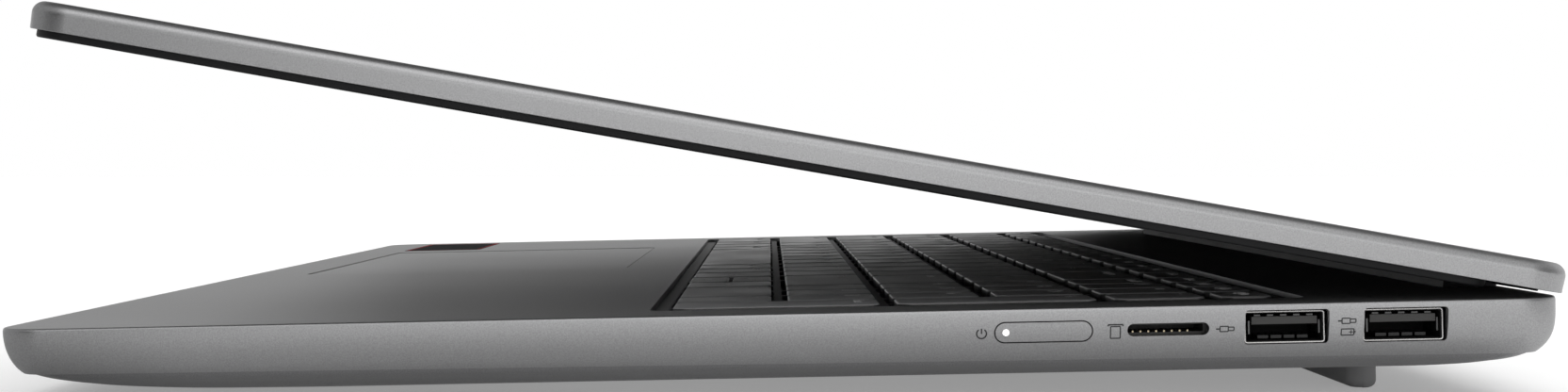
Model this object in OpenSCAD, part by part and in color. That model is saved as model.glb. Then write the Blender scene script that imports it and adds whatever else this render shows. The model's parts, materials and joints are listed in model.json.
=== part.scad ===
// Slim 16-inch laptop computer, lid part open.
// Millimetres, +Z up. +X is the user's right, +Y the hinge side.
// Pieces of the base are drawn in the deck's own frame: Y = 0 at the front edge of the deck, Z = 0 on the deck.
// Pieces of the lid are drawn closed in that same frame, and on_lid() opens them.

/* [Overall] */
// Width of the base and the lid
body_w = 357; // [340:1:372]
// Depth of the base, front edge to rear edge
base_d = 250.6; // [246:0.1:256]
// Depth of the lid
lid_d = 251.13; // [248:0.01:256]
// Plan radius of the corners of base and lid
corner_r = 7.8; // [5:0.1:12]
// Height of the deck's front edge above the table
deck_front_z = 11.95; // [11:0.05:14]
// Rise of the deck towards the hinge, in degrees
base_tilt = 1.19; // [0.6:0.01:1.8]

/* [Hinge] */
// Opening of the lid as drawn, in degrees
lid_angle = 11.02; // [0.1:0.01:100]
// Hinge axis, distance behind the front edge
hinge_y = 245.35; // [245:0.01:246]
// Hinge axis, height above the deck
hinge_z = -4.57; // [-4.7:0.01:-4.4]
// Radius of the hinge pins
pin_r = 1.5; // [1.2:0.1:1.6]
// Width of the notch that the hinge cover turns in
notch_w = 293; // [280:1:300]

/* [Base section] */
// Depth of the parting line below the deck at the front
parting_front = 7.5; // [7:0.1:8]
// Depth of the parting line below the deck at the rear
parting_rear = 8.95; // [8.5:0.05:9.2]
// Deepest point of the bottom cover below the deck
base_h = 11.4; // [11:0.1:12]
// Radius of the deck's edge
deck_edge_r = 0.5; // [0.3:0.1:0.8]
// Wall of the metal case
wall = 1.2; // [1:0.1:1.4]

/* [Lid section] */
// Gap from the deck to the metal lid when closed
lid_gap = 1.3; // [1.25:0.05:1.4]
// Height of the metal lid
lid_h = 4.66; // [4.5:0.01:5]
// Radius of the lid's top edge
lid_edge_r = 2; // [1.5:0.1:2.4]
// Gap from the deck to the display frame when closed
bezel_gap = 0.08; // [0.06:0.01:0.12]
// Overhang of the closed lid at the front
lid_overhang = 0.4; // [0.2:0.05:0.5]
// Width of the display's window
window_w = 344.6; // [340:0.1:346]
// Depth of the display's window
window_d = 215.4; // [210:0.1:216]

/* [Keyboard] */
// Front of the first row of keys
keys_front = 105.9; // [104:0.1:107]
// Pitch of the letter rows
row_pitch = 18.1; // [17.5:0.1:18.5]
// Depth of the front row
front_row_d = 19.4; // [18:0.1:20]
// Depth of the function row
function_row_d = 11; // [10:0.1:12]
// Pitch of the letter keys
key_pitch = 18.6; // [18:0.1:18.8]
// Pitch of the number pad
pad_pitch = 14.9; // [14:0.1:15]
// Gap between two keys
key_gap = 2.4; // [2:0.1:3]
// Travel of a key
key_travel = 1.3; // [1:0.1:1.5]
// Distance of the number pad from the right side
keys_right = 15.5; // [15:0.1:17]

/* [Touchpad] */
// Width of the touchpad
pad_w = 122.2; // [110:0.1:125]
// Depth of the touchpad
pad_d = 75.5; // [70:0.1:78]
// Centre of the touchpad, left of the middle
pad_x = -46.2; // [-60:0.1:0]
// Front edge of the touchpad
pad_front = 14.4; // [12:0.1:18]

/* [Ports] */
// Width of a USB-A opening
usb_w = 13.3; // [13.2:0.1:13.6]
// Height of a USB-A opening
usb_h = 5.5; // [5.3:0.1:5.8]
// Height of the ports' centres above the deck
port_z = -3.78; // [-3.9:0.01:-3.7]
// Length of the power button
button_w = 15.3; // [12:0.1:16]
// Height of the power button
button_h = 3.08; // [2.6:0.01:3.4]

/* [Hidden] */

eps = 0.01;
far = 400;
half_w = body_w / 2;
round_fn = 32;
bore_fn = 48;
cover_r = 5;

// The lid as it lies closed
lid_front = -lid_overhang;
lid_rear = lid_front + lid_d;
lid_top = lid_gap + lid_h;
lid_ceiling = lid_top - 1.1;
bezel_rear = 238.2;
bezel_side = half_w - 1.6;
window_front = 8;

// Rearmost point of the opened lid, which sets the middle of the whole
lid_edge_y = lid_rear - lid_edge_r - hinge_y;
lid_edge_z = lid_top - lid_edge_r - hinge_z;
open_edge_y = hinge_y + lid_edge_y * cos(lid_angle) + lid_edge_z * sin(lid_angle);
open_edge_z = hinge_z - lid_edge_y * sin(lid_angle) + lid_edge_z * cos(lid_angle);
rear_reach = open_edge_y * cos(base_tilt) - open_edge_z * sin(base_tilt) + lid_edge_r;
middle_y = rear_reach / 2;

// Keyboard rows, front to back
row_y = [keys_front, for (i = [0:4]) keys_front + front_row_d + i * row_pitch,
    keys_front + front_row_d + 4 * row_pitch + function_row_d];
block_right = keys_right + 4 * pad_pitch;
web_z = -0.9;
key_top = 0.12;
key_bottom = -1.6;
key_r = 1.5;
key_slit = 0.45;
opening_w = 332;
opening_front = 104;
opening_rear = 212;
opening_r = 2.5;
stem_h = 0.6;
dome_h = 0.6;
plate_z = key_bottom - stem_h - key_travel - dome_h - 0.2;

// Key widths from right to left, one list for each row of the main block
modifier_w = [17.6, key_pitch, key_pitch, 17.6, 19, 90.5, 19, 19, 19, 27];
lower_w = [36.4, for (i = [1:10]) key_pitch, 43.5];
home_w = [29.3, for (i = [1:11]) key_pitch, 32];
upper_w = [20.2, for (i = [1:12]) key_pitch, 22.5];
number_w = [29.4, for (i = [1:12]) key_pitch, 13.3];
function_key_w = 16.7;
function_w = [19.1, for (i = [1:14]) function_key_w, 13];
rows_w = [modifier_w, lower_w, home_w, upper_w, number_w, function_w];

function sum_to(list, n) = n <= 0 ? 0 : list[n - 1] + sum_to(list, n - 1);

// Round rod that the touchpad turns on
pad_rod_in = 1.2;
pad_rod_z = -1.5;

// Ports: distance of each centre behind the front edge
usb_a_y = [205.75, 224.6];
card_y = 186.9;
button_y = 167.15;
led_y = 161.2;
usb_c_y = [191.5, 207.5];
hdmi_y = 171;
jack_y = 224;
jack_r = 1.75;
jack_deep = 14;
port_deep = 10;
card_deep = 8.5;

// Feet
foot_x = 112;
front_foot_y = 31;
rear_foot_y = 225;

// Where the cover ends in the notch, so that the opened lid swings clear
swing_relief_y = 240.5;

// Pieces inside the base
speaker_x = 161;
bracket_x = 155;
battery = [[-148, 22, -8.5], [296, 76, 5.2]];
fan_x = -92;
fan_y = 184;
fan_z = -9.9;
fan_h = 4.6;
blades = 29;
board_z = -6.9;
board_t = 1;
fin_y = 222;
screw_xy = [for (x = [-160, 0, 160]) for (y = [10, 209]) [x, y], [-160, 125], [160, 125]];

// ---- placing ----

module on_base() {
    translate([0, -middle_y, deck_front_z])
        rotate([base_tilt, 0, 0])
            children();
}

module on_lid() {
    on_base()
        translate([0, hinge_y, hinge_z])
            rotate([-lid_angle, 0, 0])
                translate([0, -hinge_y, -hinge_z])
                    children();
}

// ---- shared shapes ----

// A block given by its two corners
module block(low, high) {
    translate(low)
        cube(high - low);
}

module rounded(w, d, r) {
    square([w - 2 * r, d], center = true);
    square([w, d - 2 * r], center = true);
    for (sx = [-1, 1], sy = [-1, 1])
        translate([sx * (w / 2 - r), sy * (d / 2 - r)])
            circle(r, $fn = bore_fn);
}

// A bar with two full round ends
module stadium(w, d) {
    square([w - d, d], center = true);
    for (sx = [-1, 1])
        translate([sx * (w - d) / 2, 0])
            circle(d / 2, $fn = bore_fn);
}

// A pill-shaped bar along Y, pushed through along X
module pill(w, h, low_x, high_x) {
    translate([low_x, 0, 0])
        rotate([90, 0, 90])
            linear_extrude(high_x - low_x)
                stadium(w, h);
}

// Four thin discs: one level of a shape with round corners, whose front and rear lie at their own depths
module level(side, front, rear, z_front, z_rear, depth, r) {
    for (sx = [-1, 1]) {
        translate([sx * (half_w - side - r), front + r, -z_front - eps])
            cylinder(h = eps, r = r, $fn = round_fn);
        translate([sx * (half_w - side - r), depth - rear - r, -z_rear - eps])
            cylinder(h = eps, r = r, $fn = round_fn);
    }
}

function wall_inset(t) = 5.6 * (1 - sqrt(1 - t * t));

// The rear wall stands straighter and turns in late
function rear_inset(t) = 3.1 * pow(t / 0.9, 3.9);

module even_level(inset, z, depth = base_d) {
    level(inset, inset, inset, z, z, depth, corner_r - inset);
}

// Levels of the metal case from the deck's edge to the parting line
module case_levels(extra = 0) {
    for (a = [0:30:90])
        even_level(extra + deck_edge_r * (1 - sin(a)), deck_edge_r * (1 - cos(a)));
    for (t = [0.2, 0.4, 0.55, 0.7, 0.8, 0.9]) {
        inset = extra + wall_inset(t);
        rear = extra + rear_inset(t);
        z_front = deck_edge_r + t * (parting_front - deck_edge_r) / 0.9;
        z_rear = deck_edge_r + t * (parting_rear - deck_edge_r) / 0.9;
        level(inset, inset, rear, z_front, z_rear, base_d, corner_r - inset);
    }
}

// Levels of the bottom cover: side, front and rear inset, drop below the parting line at the front and at the rear
bottom_levels = [[3.7, 3.9, 3.7, eps, eps], [4.4, 6, 5, 0.75, 0.65], [5.4, 8.7, 6.6, 1.4, 1.15],
    [6.4, 12, 8.6, 1.95, 1.5], [7.4, 17, 11, 2.55, 1.85], [8.4, 26, 14, 3.1, 2.1],
    [9.6, 36, 18, 3.4, 2.3], [11.5, 53, 23, 3.7, 2.4],
    [15, 90, 30, base_h - parting_front, base_h - parting_rear]];

module cover_levels(extra, raise) {
    for (b = bottom_levels)
        level(b[0] + extra, b[1] + extra, b[2] + extra,
            parting_front + b[3] - raise, parting_rear + b[4] - raise, base_d, cover_r);
}

module case_body() {
    hull()
        case_levels();
}

// A key's cap or its hole, between two distances from the right side and two rows
module key_area(right, left, front, back, grow) {
    w = left - right - key_gap + 2 * grow;
    d = back - front - key_gap + 2 * grow;
    translate([half_w - (left + right) / 2, (front + back) / 2])
        rounded(w, d, key_r + grow / 2);
}

module row_area(row, first, last, grow) {
    for (i = [first:last]) {
        right = block_right + sum_to(rows_w[row], i);
        key_area(right, right + rows_w[row][i], row_y[row], row_y[row + 1], grow);
    }
}

// Number pad keys: column counted from the right, width and depth in keys
module pad_area(column, row, wide, deep, grow) {
    right = keys_right + column * pad_pitch;
    key_area(right, right + wide * pad_pitch, row_y[row], row_y[row + deep], grow);
}

module digit_area(grow) {
    for (row = [1:3], column = [1:3])
        pad_area(column, row, 1, 1, grow);
    for (row = [4, 5], column = [0:3])
        pad_area(column, row, 1, 1, grow);
    pad_area(1, 0, 1, 1, grow);
    pad_area(2, 0, 2, 1, grow);
}

arrow_split = row_y[0] + front_row_d / 2;
up_down_right = block_right + modifier_w[0];

module up_area(grow) {
    key_area(up_down_right, up_down_right + key_pitch, arrow_split - 1, row_y[1], grow);
}

module down_area(grow) {
    key_area(up_down_right, up_down_right + key_pitch, row_y[0], arrow_split + 1, grow);
}

module all_areas(grow) {
    row_area(0, 0, 0, grow);
    row_area(0, 2, 9, grow);
    up_area(grow);
    down_area(grow);
    for (row = [1:5])
        row_area(row, 0, len(rows_w[row]) - 1, grow);
    digit_area(grow);
    pad_area(0, 0, 1, 2, grow);
    pad_area(0, 2, 1, 2, grow);
}

// Key caps with the stem block under each
module caps() {
    color([0.36, 0.36, 0.37])
        on_base() {
            translate([0, 0, key_bottom])
                linear_extrude(key_top - key_bottom)
                    children(0);
            translate([0, 0, key_bottom - stem_h])
                linear_extrude(stem_h + eps)
                    children(1);
        }
}

// ---- base ----

module notch_room() {
    block([-notch_w / 2, 239.75, -9.2], [notch_w / 2, base_d + 5, 5]);
}

// What the ports and the button need through the side walls
module port_holes() {
    for (y = usb_a_y)
        translate([half_w, y, port_z])
            cube([30, usb_w, usb_h], center = true);
    translate([0, card_y, port_z])
        pill(13, 2.05, half_w - 12, half_w + 5);
    translate([0, button_y, port_z])
        pill(button_w + 0.4, button_h + 0.4, half_w - 12, half_w + 5);
    for (y = usb_c_y)
        translate([0, y, port_z])
            pill(9, 3.2, -half_w - 5, -half_w + 12);
    translate([-half_w, hdmi_y, port_z])
        cube([30, 15, 5.4], center = true);
    translate([-half_w - 5, jack_y, port_z])
        rotate([0, 90, 0])
            cylinder(h = 20, r = 2.8, $fn = bore_fn);
}

module case_shell() {
    difference() {
        case_body();
        hull() {
            even_level(1.6, wall);
            level(2.2, 2.2, 2.2, 4.6, 5, base_d, corner_r - 2.2);
            level(4.6, 4.6, 4.6, parting_front + 1, parting_rear + 1, base_d, corner_r - 4.6);
        }
    }
}

// Solid rear edge that the hinge notch is cut from
module rear_rib() {
    intersection() {
        case_body();
        block([-notch_w / 2 - 1.2, 238.6, -parting_rear - 1], [notch_w / 2 + 1.2, 239.75, 0]);
    }
    intersection() {
        case_body();
        for (sx = [-1, 1])
            translate([sx * (notch_w / 2 + 0.6), 245, -4])
                cube([1.2, 20, 20], center = true);
    }
}

module exhaust_slots() {
    for (x = [-132:4.4:-56])
        block([x, 237, -7.6], [x + 3, 241, -4]);
}

module top_case() {
    color([0.62, 0.62, 0.63])
        on_base()
            difference() {
                union() {
                    case_shell();
                    rear_rib();
                }
                translate([0, (opening_front + opening_rear) / 2, -3])
                    linear_extrude(6)
                        rounded(opening_w, opening_rear - opening_front, opening_r);
                translate([pad_x, pad_front + pad_d / 2, -3])
                    linear_extrude(6)
                        rounded(pad_w + 0.5, pad_d + 0.5, 1.5);
                port_holes();
                notch_room();
                exhaust_slots();
                for (sx = [-1, 1])
                    translate([sx * notch_w / 2 - 4, hinge_y, hinge_z])
                        rotate([0, 90, 0])
                            cylinder(h = 8, r = pin_r + 0.5, $fn = bore_fn);
            }
}

// Rows of air slots in the bottom cover: intake under the fan and the board
module intake_slots() {
    for (x = [-130:9:59], y = [158:7:200])
        translate([x, y, -base_h - 1])
            linear_extrude(4)
                stadium(7, 2.2);
}

module speaker_slots() {
    for (sx = [-1, 1], i = [0:7])
        translate([sx * speaker_x, 64 + i * 4, -base_h - 1])
            linear_extrude(4)
                stadium(10, 1.6);
}

module bottom_cover() {
    color([0.5, 0.5, 0.51])
        on_base()
            difference() {
                hull()
                    cover_levels(0, 0);
                case_body();
                intersection() {
                    hull()
                        cover_levels(1.3, 1.2);
                    block([-half_w, 0, -base_h], [half_w, 236, 0]);
                }
                intake_slots();
                speaker_slots();
                block([-notch_w / 2, swing_relief_y, -far], [notch_w / 2, base_d, 0]);
                for (p = screw_xy)
                    translate([p[0], p[1], -base_h - 2])
                        cylinder(h = 8, r = 1.2, $fn = bore_fn);
            }
}

// Stands on the table, and reaches up to the sloping cover
module foot(x, y, w, d, up) {
    difference() {
        on_base()
            translate([x, y, -base_h - 8])
                linear_extrude(8 + up)
                    stadium(w, d);
        translate([-far, -far, -far])
            cube([2 * far, 2 * far, far]);
        on_base()
            hull()
                cover_levels(0, 0);
    }
}

module front_feet() {
    color([0.3, 0.3, 0.31])
        for (sx = [-1, 1])
            foot(sx * foot_x, front_foot_y, 34, 7, 1.5);
}

module rear_foot() {
    color([0.55, 0.55, 0.56])
        foot(0, rear_foot_y, 305, 5.4, 1);
}

module cover_screws() {
    color([0.45, 0.45, 0.46])
        on_base()
            for (p = screw_xy) {
                deep = p[1] < 20 ? 8.6 : 10.9;
                translate([p[0], p[1], -deep]) {
                    cylinder(h = 4.4, r = 1.15, $fn = bore_fn);
                    difference() {
                        cylinder(h = 0.8, r = 1.19, $fn = bore_fn);
                        translate([0, 0, -eps])
                            cylinder(h = 0.5, r = 0.6, $fn = 6);
                    }
                }
            }
}

module keyboard_frame() {
    color([0.3, 0.3, 0.31])
        on_base()
            translate([0, (opening_front + opening_rear) / 2, 0])
                difference() {
                    union() {
                        translate([0, 0, web_z - 1])
                            linear_extrude(1)
                                rounded(opening_w - 0.2, opening_rear - opening_front - 0.2, opening_r);
                        translate([0, 0, -1.9])
                            linear_extrude(0.7)
                                rounded(opening_w + 0.6, opening_rear - opening_front + 6, opening_r);
                        translate([0, 0, plate_z])
                            linear_extrude(3)
                                difference() {
                                    rounded(opening_w + 0.6, opening_rear - opening_front + 2, opening_r);
                                    rounded(opening_w - 1.4, opening_rear - opening_front, opening_r);
                                }
                    }
                    translate([0, -(opening_front + opening_rear) / 2, -3])
                        linear_extrude(4)
                            all_areas(key_slit);
                }
}

module keyboard_plate() {
    color([0.2, 0.2, 0.2])
        on_base()
            translate([0, (opening_front + opening_rear) / 2, plate_z - 0.5])
                linear_extrude(0.5)
                    rounded(opening_w + 0.6, opening_rear - opening_front + 2, opening_r);
}

module key_domes() {
    color([0.15, 0.15, 0.15])
        on_base()
            translate([0, 0, plate_z]) {
                linear_extrude(0.15)
                    translate([0, (opening_front + opening_rear) / 2])
                        square([opening_w - 8, opening_rear - opening_front - 6], center = true);
                for (row = [0:4], i = [0:16])
                    translate([-154 + i * 19, (row_y[row] + row_y[row + 1]) / 2, 0])
                        cylinder(h = dome_h, r = 2.5, $fn = bore_fn);
            }
}

module touchpad() {
    color([0.6, 0.6, 0.61])
        on_base()
            translate([pad_x, pad_front + pad_d / 2, 0]) {
                translate([0, 0, -1.1])
                    linear_extrude(1.05)
                        rounded(pad_w, pad_d, 1.3);
                block([-50, -32, -2.3], [50, 32, -1.1]);
                translate([-50, pad_d / 2 - pad_rod_in, pad_rod_z])
                    rotate([0, 90, 0])
                        cylinder(h = 100, r = 0.6, $fn = bore_fn);
            }
}

// Four flat cells in a tray
module battery_pack() {
    color([0.12, 0.12, 0.13])
        on_base()
            translate(battery[0]) {
                cube([battery[1][0], battery[1][1], 1]);
                for (i = [0:3])
                    translate([2 + i * 73.4, 2, 1 - eps])
                        cube([71.8, battery[1][1] - 4, battery[1][2] - 1]);
            }
}

module motherboard() {
    color([0.1, 0.25, 0.18])
        on_base() {
            difference() {
                union() {
                    block([-54, 118, board_z], [165, 206, board_z + board_t]);
                    block([-54, 206, board_z], [-10, 214, board_z + board_t]);
                }
                for (p = screw_xy)
                    translate([p[0], p[1], board_z - 1])
                        cylinder(h = 4, r = 1.8, $fn = bore_fn);
            }
            block([-14, 158, board_z - 1.4], [22, 184, board_z]);
            for (x = [60, 86, 112])
                block([x, 128, board_z - 1.1], [x + 14, 139, board_z]);
            for (x = [-40:9:-22])
                block([x, 128, board_z - 1.5], [x + 6, 134, board_z]);
        }
}

// Flat copper pipe: along the board, round a bend and along the fins
module heat_pipe() {
    color([0.75, 0.45, 0.3])
        on_base()
            translate([0, 0, board_z - 1.4 - 1.6])
                linear_extrude(1.6) {
                    translate([-12, 165])
                        square([32, 8]);
                    translate([-12, 191])
                        intersection() {
                            difference() {
                                circle(26, $fn = bore_fn);
                                circle(18, $fn = bore_fn);
                            }
                            translate([-30, -30])
                                square([30, 30]);
                        }
                    translate([-38, 190])
                        square([8, 26]);
                    translate([-128, 216])
                        square([98, 7]);
                }
}

module heatsink_fins() {
    color([0.7, 0.5, 0.35])
        on_base() {
            for (x = [-128:2.2:-64])
                block([x, fin_y - 6, -7.8], [x + 0.5, fin_y + 10, -5.2]);
            block([-128, fin_y - 6, -8.3], [-64, fin_y + 10, -7.8]);
        }
}

module fan_housing() {
    color([0.14, 0.14, 0.15])
        on_base()
            translate([fan_x, fan_y, fan_z])
                difference() {
                    union() {
                        cylinder(h = fan_h, r = 30, $fn = bore_fn);
                        translate([-30, 0, 0])
                            cube([60, 31, fan_h]);
                    }
                    translate([0, 0, 0.6])
                        difference() {
                            union() {
                                cylinder(h = fan_h - 1.2, r = 28.8, $fn = bore_fn);
                                translate([-27, 0, 0])
                                    cube([54, 40, fan_h - 1.2]);
                            }
                            cylinder(h = fan_h - 1.2, r = 1.2, $fn = bore_fn);
                        }
                    translate([0, 0, -1])
                        difference() {
                            cylinder(h = 3, r = 20, $fn = bore_fn);
                            cylinder(h = 3, r = 8, $fn = bore_fn);
                            for (a = [0:120:240])
                                rotate([0, 0, a])
                                    translate([0, -1.5, 0])
                                        cube([30, 3, 3]);
                        }
                }
}

module fan_rotor() {
    color([0.1, 0.1, 0.1])
        on_base()
            translate([fan_x, fan_y, fan_z + 1])
                linear_extrude(2.6)
                    difference() {
                        union() {
                            circle(9, $fn = bore_fn);
                            for (i = [0:blades - 1])
                                rotate(i * 360 / blades)
                                    translate([8.6, 0])
                                        rotate(28)
                                            square([17.4, 0.6]);
                        }
                        circle(1.25, $fn = bore_fn);
                    }
}

module ssd_module() {
    color([0.08, 0.2, 0.15])
        on_base() {
            block([46, 148, board_z - 1.3], [88, 170, board_z - 0.5]);
            block([50, 150, board_z - 2.6], [62, 168, board_z - 1.3]);
            block([66, 150, board_z - 2.6], [84, 168, board_z - 1.3]);
            block([88, 149, board_z - 2], [92, 169, board_z]);
        }
}

module wifi_module() {
    color([0.35, 0.4, 0.38])
        on_base() {
            block([102, 150, board_z - 2.2], [124, 180, board_z - 1.4]);
            block([105, 154, board_z - 3.2], [121, 170, board_z - 2.2]);
            block([102, 180, board_z - 2.4], [124, 184, board_z]);
        }
}

module speakers() {
    color([0.16, 0.16, 0.17])
        on_base()
            for (sx = [-1, 1])
                translate([sx * speaker_x, 62, -8.4])
                    difference() {
                        translate([-7.5, -34, 0])
                            cube([15, 68, 5]);
                        translate([0, 16, -eps])
                            linear_extrude(0.6)
                                rounded(10, 30, 4);
                    }
}

module usb_a_shells() {
    color([0.8, 0.8, 0.8])
        on_base()
            for (y = usb_a_y)
                translate([half_w - 1.7 - port_deep / 2, y, port_z])
                    difference() {
                        cube([port_deep, usb_w - 0.1, usb_h - 0.1], center = true);
                        translate([1, 0, 0])
                            cube([port_deep, usb_w - 0.8, usb_h - 0.8], center = true);
                    }
}

module usb_a_tongues() {
    color([0.35, 0.35, 0.34])
        on_base()
            for (y = usb_a_y)
                translate([half_w - 1.7 - port_deep + 1, y - 5.2, port_z + 0.35])
                    cube([port_deep - 1.6, 10.4, 1.2]);
}

module card_slot() {
    color([0.35, 0.35, 0.33])
        on_base()
            translate([half_w - 3 - card_deep, card_y, port_z])
                difference() {
                    translate([0, -7.2, -1.6])
                        cube([card_deep, 14.4, 3.2]);
                    translate([1, -6, -0.6])
                        cube([card_deep, 12, 1.2]);
                }
}

module usb_c_shells() {
    color([0.75, 0.75, 0.75])
        on_base()
            for (y = usb_c_y)
                translate([0, y, port_z]) {
                    difference() {
                        pill(8.9, 3.1, -half_w + 0.6, -half_w + 8);
                        pill(8.3, 2.5, -half_w, -half_w + 7.4);
                    }
                    translate([-half_w + 1.2, -3.3, -0.35])
                        cube([6.5, 6.6, 0.7]);
                }
}

module hdmi_shell() {
    color([0.75, 0.75, 0.75])
        on_base()
            translate([-half_w + 1.8, hdmi_y, port_z]) {
                difference() {
                    translate([0, -7.4, -2.6])
                        cube([10, 14.8, 5.2]);
                    translate([-1, -7, -2.2])
                        cube([10.4, 14, 4.4]);
                }
                translate([1, -5.6, -0.4])
                    cube([8.5, 11.2, 0.9]);
            }
}

module audio_jack() {
    color([0.1, 0.1, 0.1])
        on_base()
            translate([-half_w + 0.7, jack_y, port_z])
                rotate([0, 90, 0])
                    difference() {
                        cylinder(h = jack_deep + 1, r = 2.75, $fn = bore_fn);
                        translate([0, 0, -1])
                            cylinder(h = jack_deep + 1, r = jack_r, $fn = bore_fn);
                    }
}

module power_button() {
    color([0.62, 0.62, 0.63])
        on_base()
            difference() {
                intersection() {
                    case_body();
                    translate([0, button_y, port_z])
                        pill(button_w, button_h, half_w - 3, half_w + 2);
                }
                translate([half_w - 5, led_y, port_z])
                    rotate([0, 90, 0])
                        cylinder(h = 10, r = 0.55, $fn = bore_fn);
            }
}

module power_led() {
    color([1, 1, 1])
        on_base()
            translate([half_w - 3, led_y, port_z])
                rotate([0, 90, 0])
                    cylinder(h = 2.5, r = 0.5, $fn = bore_fn);
}

// Steel blocks in the rear corners that hold the pins, with a foot on the floor of the case
module hinge_brackets() {
    color([0.55, 0.56, 0.58])
        on_base()
            for (sx = [-1, 1])
                difference() {
                    union() {
                        translate([sx * bracket_x, 242.7, -wall - 3.1])
                            cube([12, 8, 6.2], center = true);
                        translate([sx * bracket_x, 228, -6.9])
                            cube([12, 30, 1], center = true);
                    }
                    translate([sx * bracket_x - 10, hinge_y, hinge_z])
                        rotate([0, 90, 0])
                            cylinder(h = 20, r = pin_r, $fn = bore_fn);
                }
}

module hinge_pins() {
    color([0.7, 0.7, 0.72])
        on_base()
            for (sx = [-1, 1])
                translate([sx * 147.5 - 13.5, hinge_y, hinge_z])
                    rotate([0, 90, 0])
                        cylinder(h = 27, r = pin_r, $fn = bore_fn);
}

module palm_sticker() {
    color([0.05, 0.05, 0.05])
        on_base()
            block([-168.5, 13.9, 0], [-119.5, 36.5, 0.06]);
}

// ---- lid ----

module lid_level(inset, z) {
    translate([0, lid_front, z])
        level(inset, inset, inset, 0, 0, lid_d, corner_r - inset);
}

module lid_cover() {
    color([0.66, 0.66, 0.67])
        on_lid()
            difference() {
                hull() {
                    for (a = [0:18:90])
                        lid_level(lid_edge_r * (1 - sin(a)), lid_top - lid_edge_r * (1 - cos(a)));
                    lid_level(0.15, lid_gap + eps);
                }
                hull() {
                    lid_level(2.4, lid_ceiling);
                    lid_level(1.2, lid_top - lid_edge_r - 0.2);
                    lid_level(1.2, lid_gap - 1);
                }
            }
}

module display_panel() {
    color([0.03, 0.03, 0.035])
        on_lid() {
            block([-window_w / 2 - 1.5, window_front - 1.5, 1.32],
                [window_w / 2 + 1.5, window_front + window_d + 6, 3.5]);
            block([-window_w / 2 + 0.1, window_front + 0.1, 0.6],
                [window_w / 2 - 0.1, window_front + window_d - 0.1, 1.32 + eps]);
        }
}

camera_y = 4.1;

module display_bezel() {
    color([0.04, 0.04, 0.04])
        on_lid()
            translate([0, 0, bezel_gap])
                difference() {
                    translate([0, (0.9 + bezel_rear) / 2, 0])
                        linear_extrude(lid_gap + 0.02 - bezel_gap)
                            rounded(2 * bezel_side, bezel_rear - 0.9, 6);
                    block([-window_w / 2, window_front, -1], [window_w / 2, window_front + window_d, 4]);
                    translate([0, camera_y, -1])
                        cylinder(h = 4, r = 1.3, $fn = bore_fn);
                    block([-3, camera_y - 1.6, -1], [9, camera_y + 1.6, 0.5]);
                    translate([0, (0.9 + bezel_rear) / 2, -1])
                        linear_extrude(1.4)
                            gasket_area();
                }
}

// A narrow band that follows the edge of the display frame
module gasket_area() {
    difference() {
        rounded(2 * bezel_side - 1, bezel_rear - 0.9 - 1, 5.5);
        rounded(2 * bezel_side - 2.4, bezel_rear - 0.9 - 2.4, 4.8);
    }
}

module bezel_gasket() {
    color([0.08, 0.08, 0.08])
        on_lid()
            translate([0, (0.9 + bezel_rear) / 2, bezel_gap])
                linear_extrude(0.4)
                    gasket_area();
}

bar_r = 3.75;
bar_front = -5.2;
bar_rear = 2.9;
sill_rear = 4;
sill_h = 5.8;
bar_w = notch_w - 2;
arm_x = 139;
strap_z = 3.9;

// Section of the hinge cover, seen along X, with the axis at the origin
module bar_section() {
    circle(bar_r, $fn = bore_fn);
    translate([bar_front, 1.2])
        square([bar_rear - bar_front, lid_ceiling - hinge_z - 1.3]);
    translate([bar_front, 1.2])
        square([sill_rear - bar_front, sill_h]);
}

module bar_cavity() {
    circle(bar_r - 0.55, $fn = bore_fn);
    translate([bar_front + 0.45, 1.2])
        square([3.6, 1.3]);
    translate([bar_front + 0.45, 1.2])
        square([0.85, 9]);
    translate([bar_front - 0.1, strap_z - hinge_z - 0.1])
        square([1, 2]);
}

// Sweep of a section along X, from one x to another
module along_x(low_x, high_x) {
    translate([low_x, hinge_y, hinge_z])
        rotate([90, 0, 90])
            linear_extrude(high_x - low_x)
                children();
}

module hinge_cover() {
    color([0.05, 0.05, 0.05])
        on_lid()
            difference() {
                along_x(-bar_w / 2, bar_w / 2)
                    bar_section();
                along_x(-bar_w / 2 + 1, bar_w / 2 - 1)
                    circle(bar_r - 0.55, $fn = bore_fn);
                for (sx = [-1, 1])
                    along_x(sx * arm_x - 5.5, sx * arm_x + 5.5)
                        bar_cavity();
                along_x(-bar_w, bar_w)
                    circle(pin_r + 0.4, $fn = bore_fn);
            }
}

module hinge_arms() {
    color([0.55, 0.56, 0.58])
        on_lid()
            for (sx = [-1, 1]) {
                along_x(sx * arm_x - 5, sx * arm_x + 5)
                    difference() {
                        union() {
                            circle(3, $fn = bore_fn);
                            translate([bar_front + 0.55, 1.3])
                                square([0.65, 7.9]);
                            translate([bar_front + 0.55, 1.3])
                                square([3.6, 1]);
                        }
                        circle(pin_r + 0.05, $fn = bore_fn);
                    }
                block([sx * arm_x - 5, 196, strap_z], [sx * arm_x + 5, hinge_y + bar_front + 0.6, strap_z + 0.73]);
            }
}

module camera_module() {
    color([0.05, 0.06, 0.08])
        on_lid() {
            block([-22, camera_y - 1.9, 1.32], [22, camera_y + 1.9, 2.3]);
            translate([0, camera_y, 0.75])
                cylinder(h = 0.6, r = 1.2, $fn = bore_fn);
        }
}

module camera_shutter() {
    color([0.2, 0.2, 0.2])
        on_lid()
            difference() {
                block([4.6, camera_y - 1.4, bezel_gap + 0.1], [8.4, camera_y + 1.4, bezel_gap + 0.42]);
                block([6.3, camera_y - 0.8, bezel_gap], [6.7, camera_y + 0.8, bezel_gap + 0.2]);
            }
}

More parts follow.
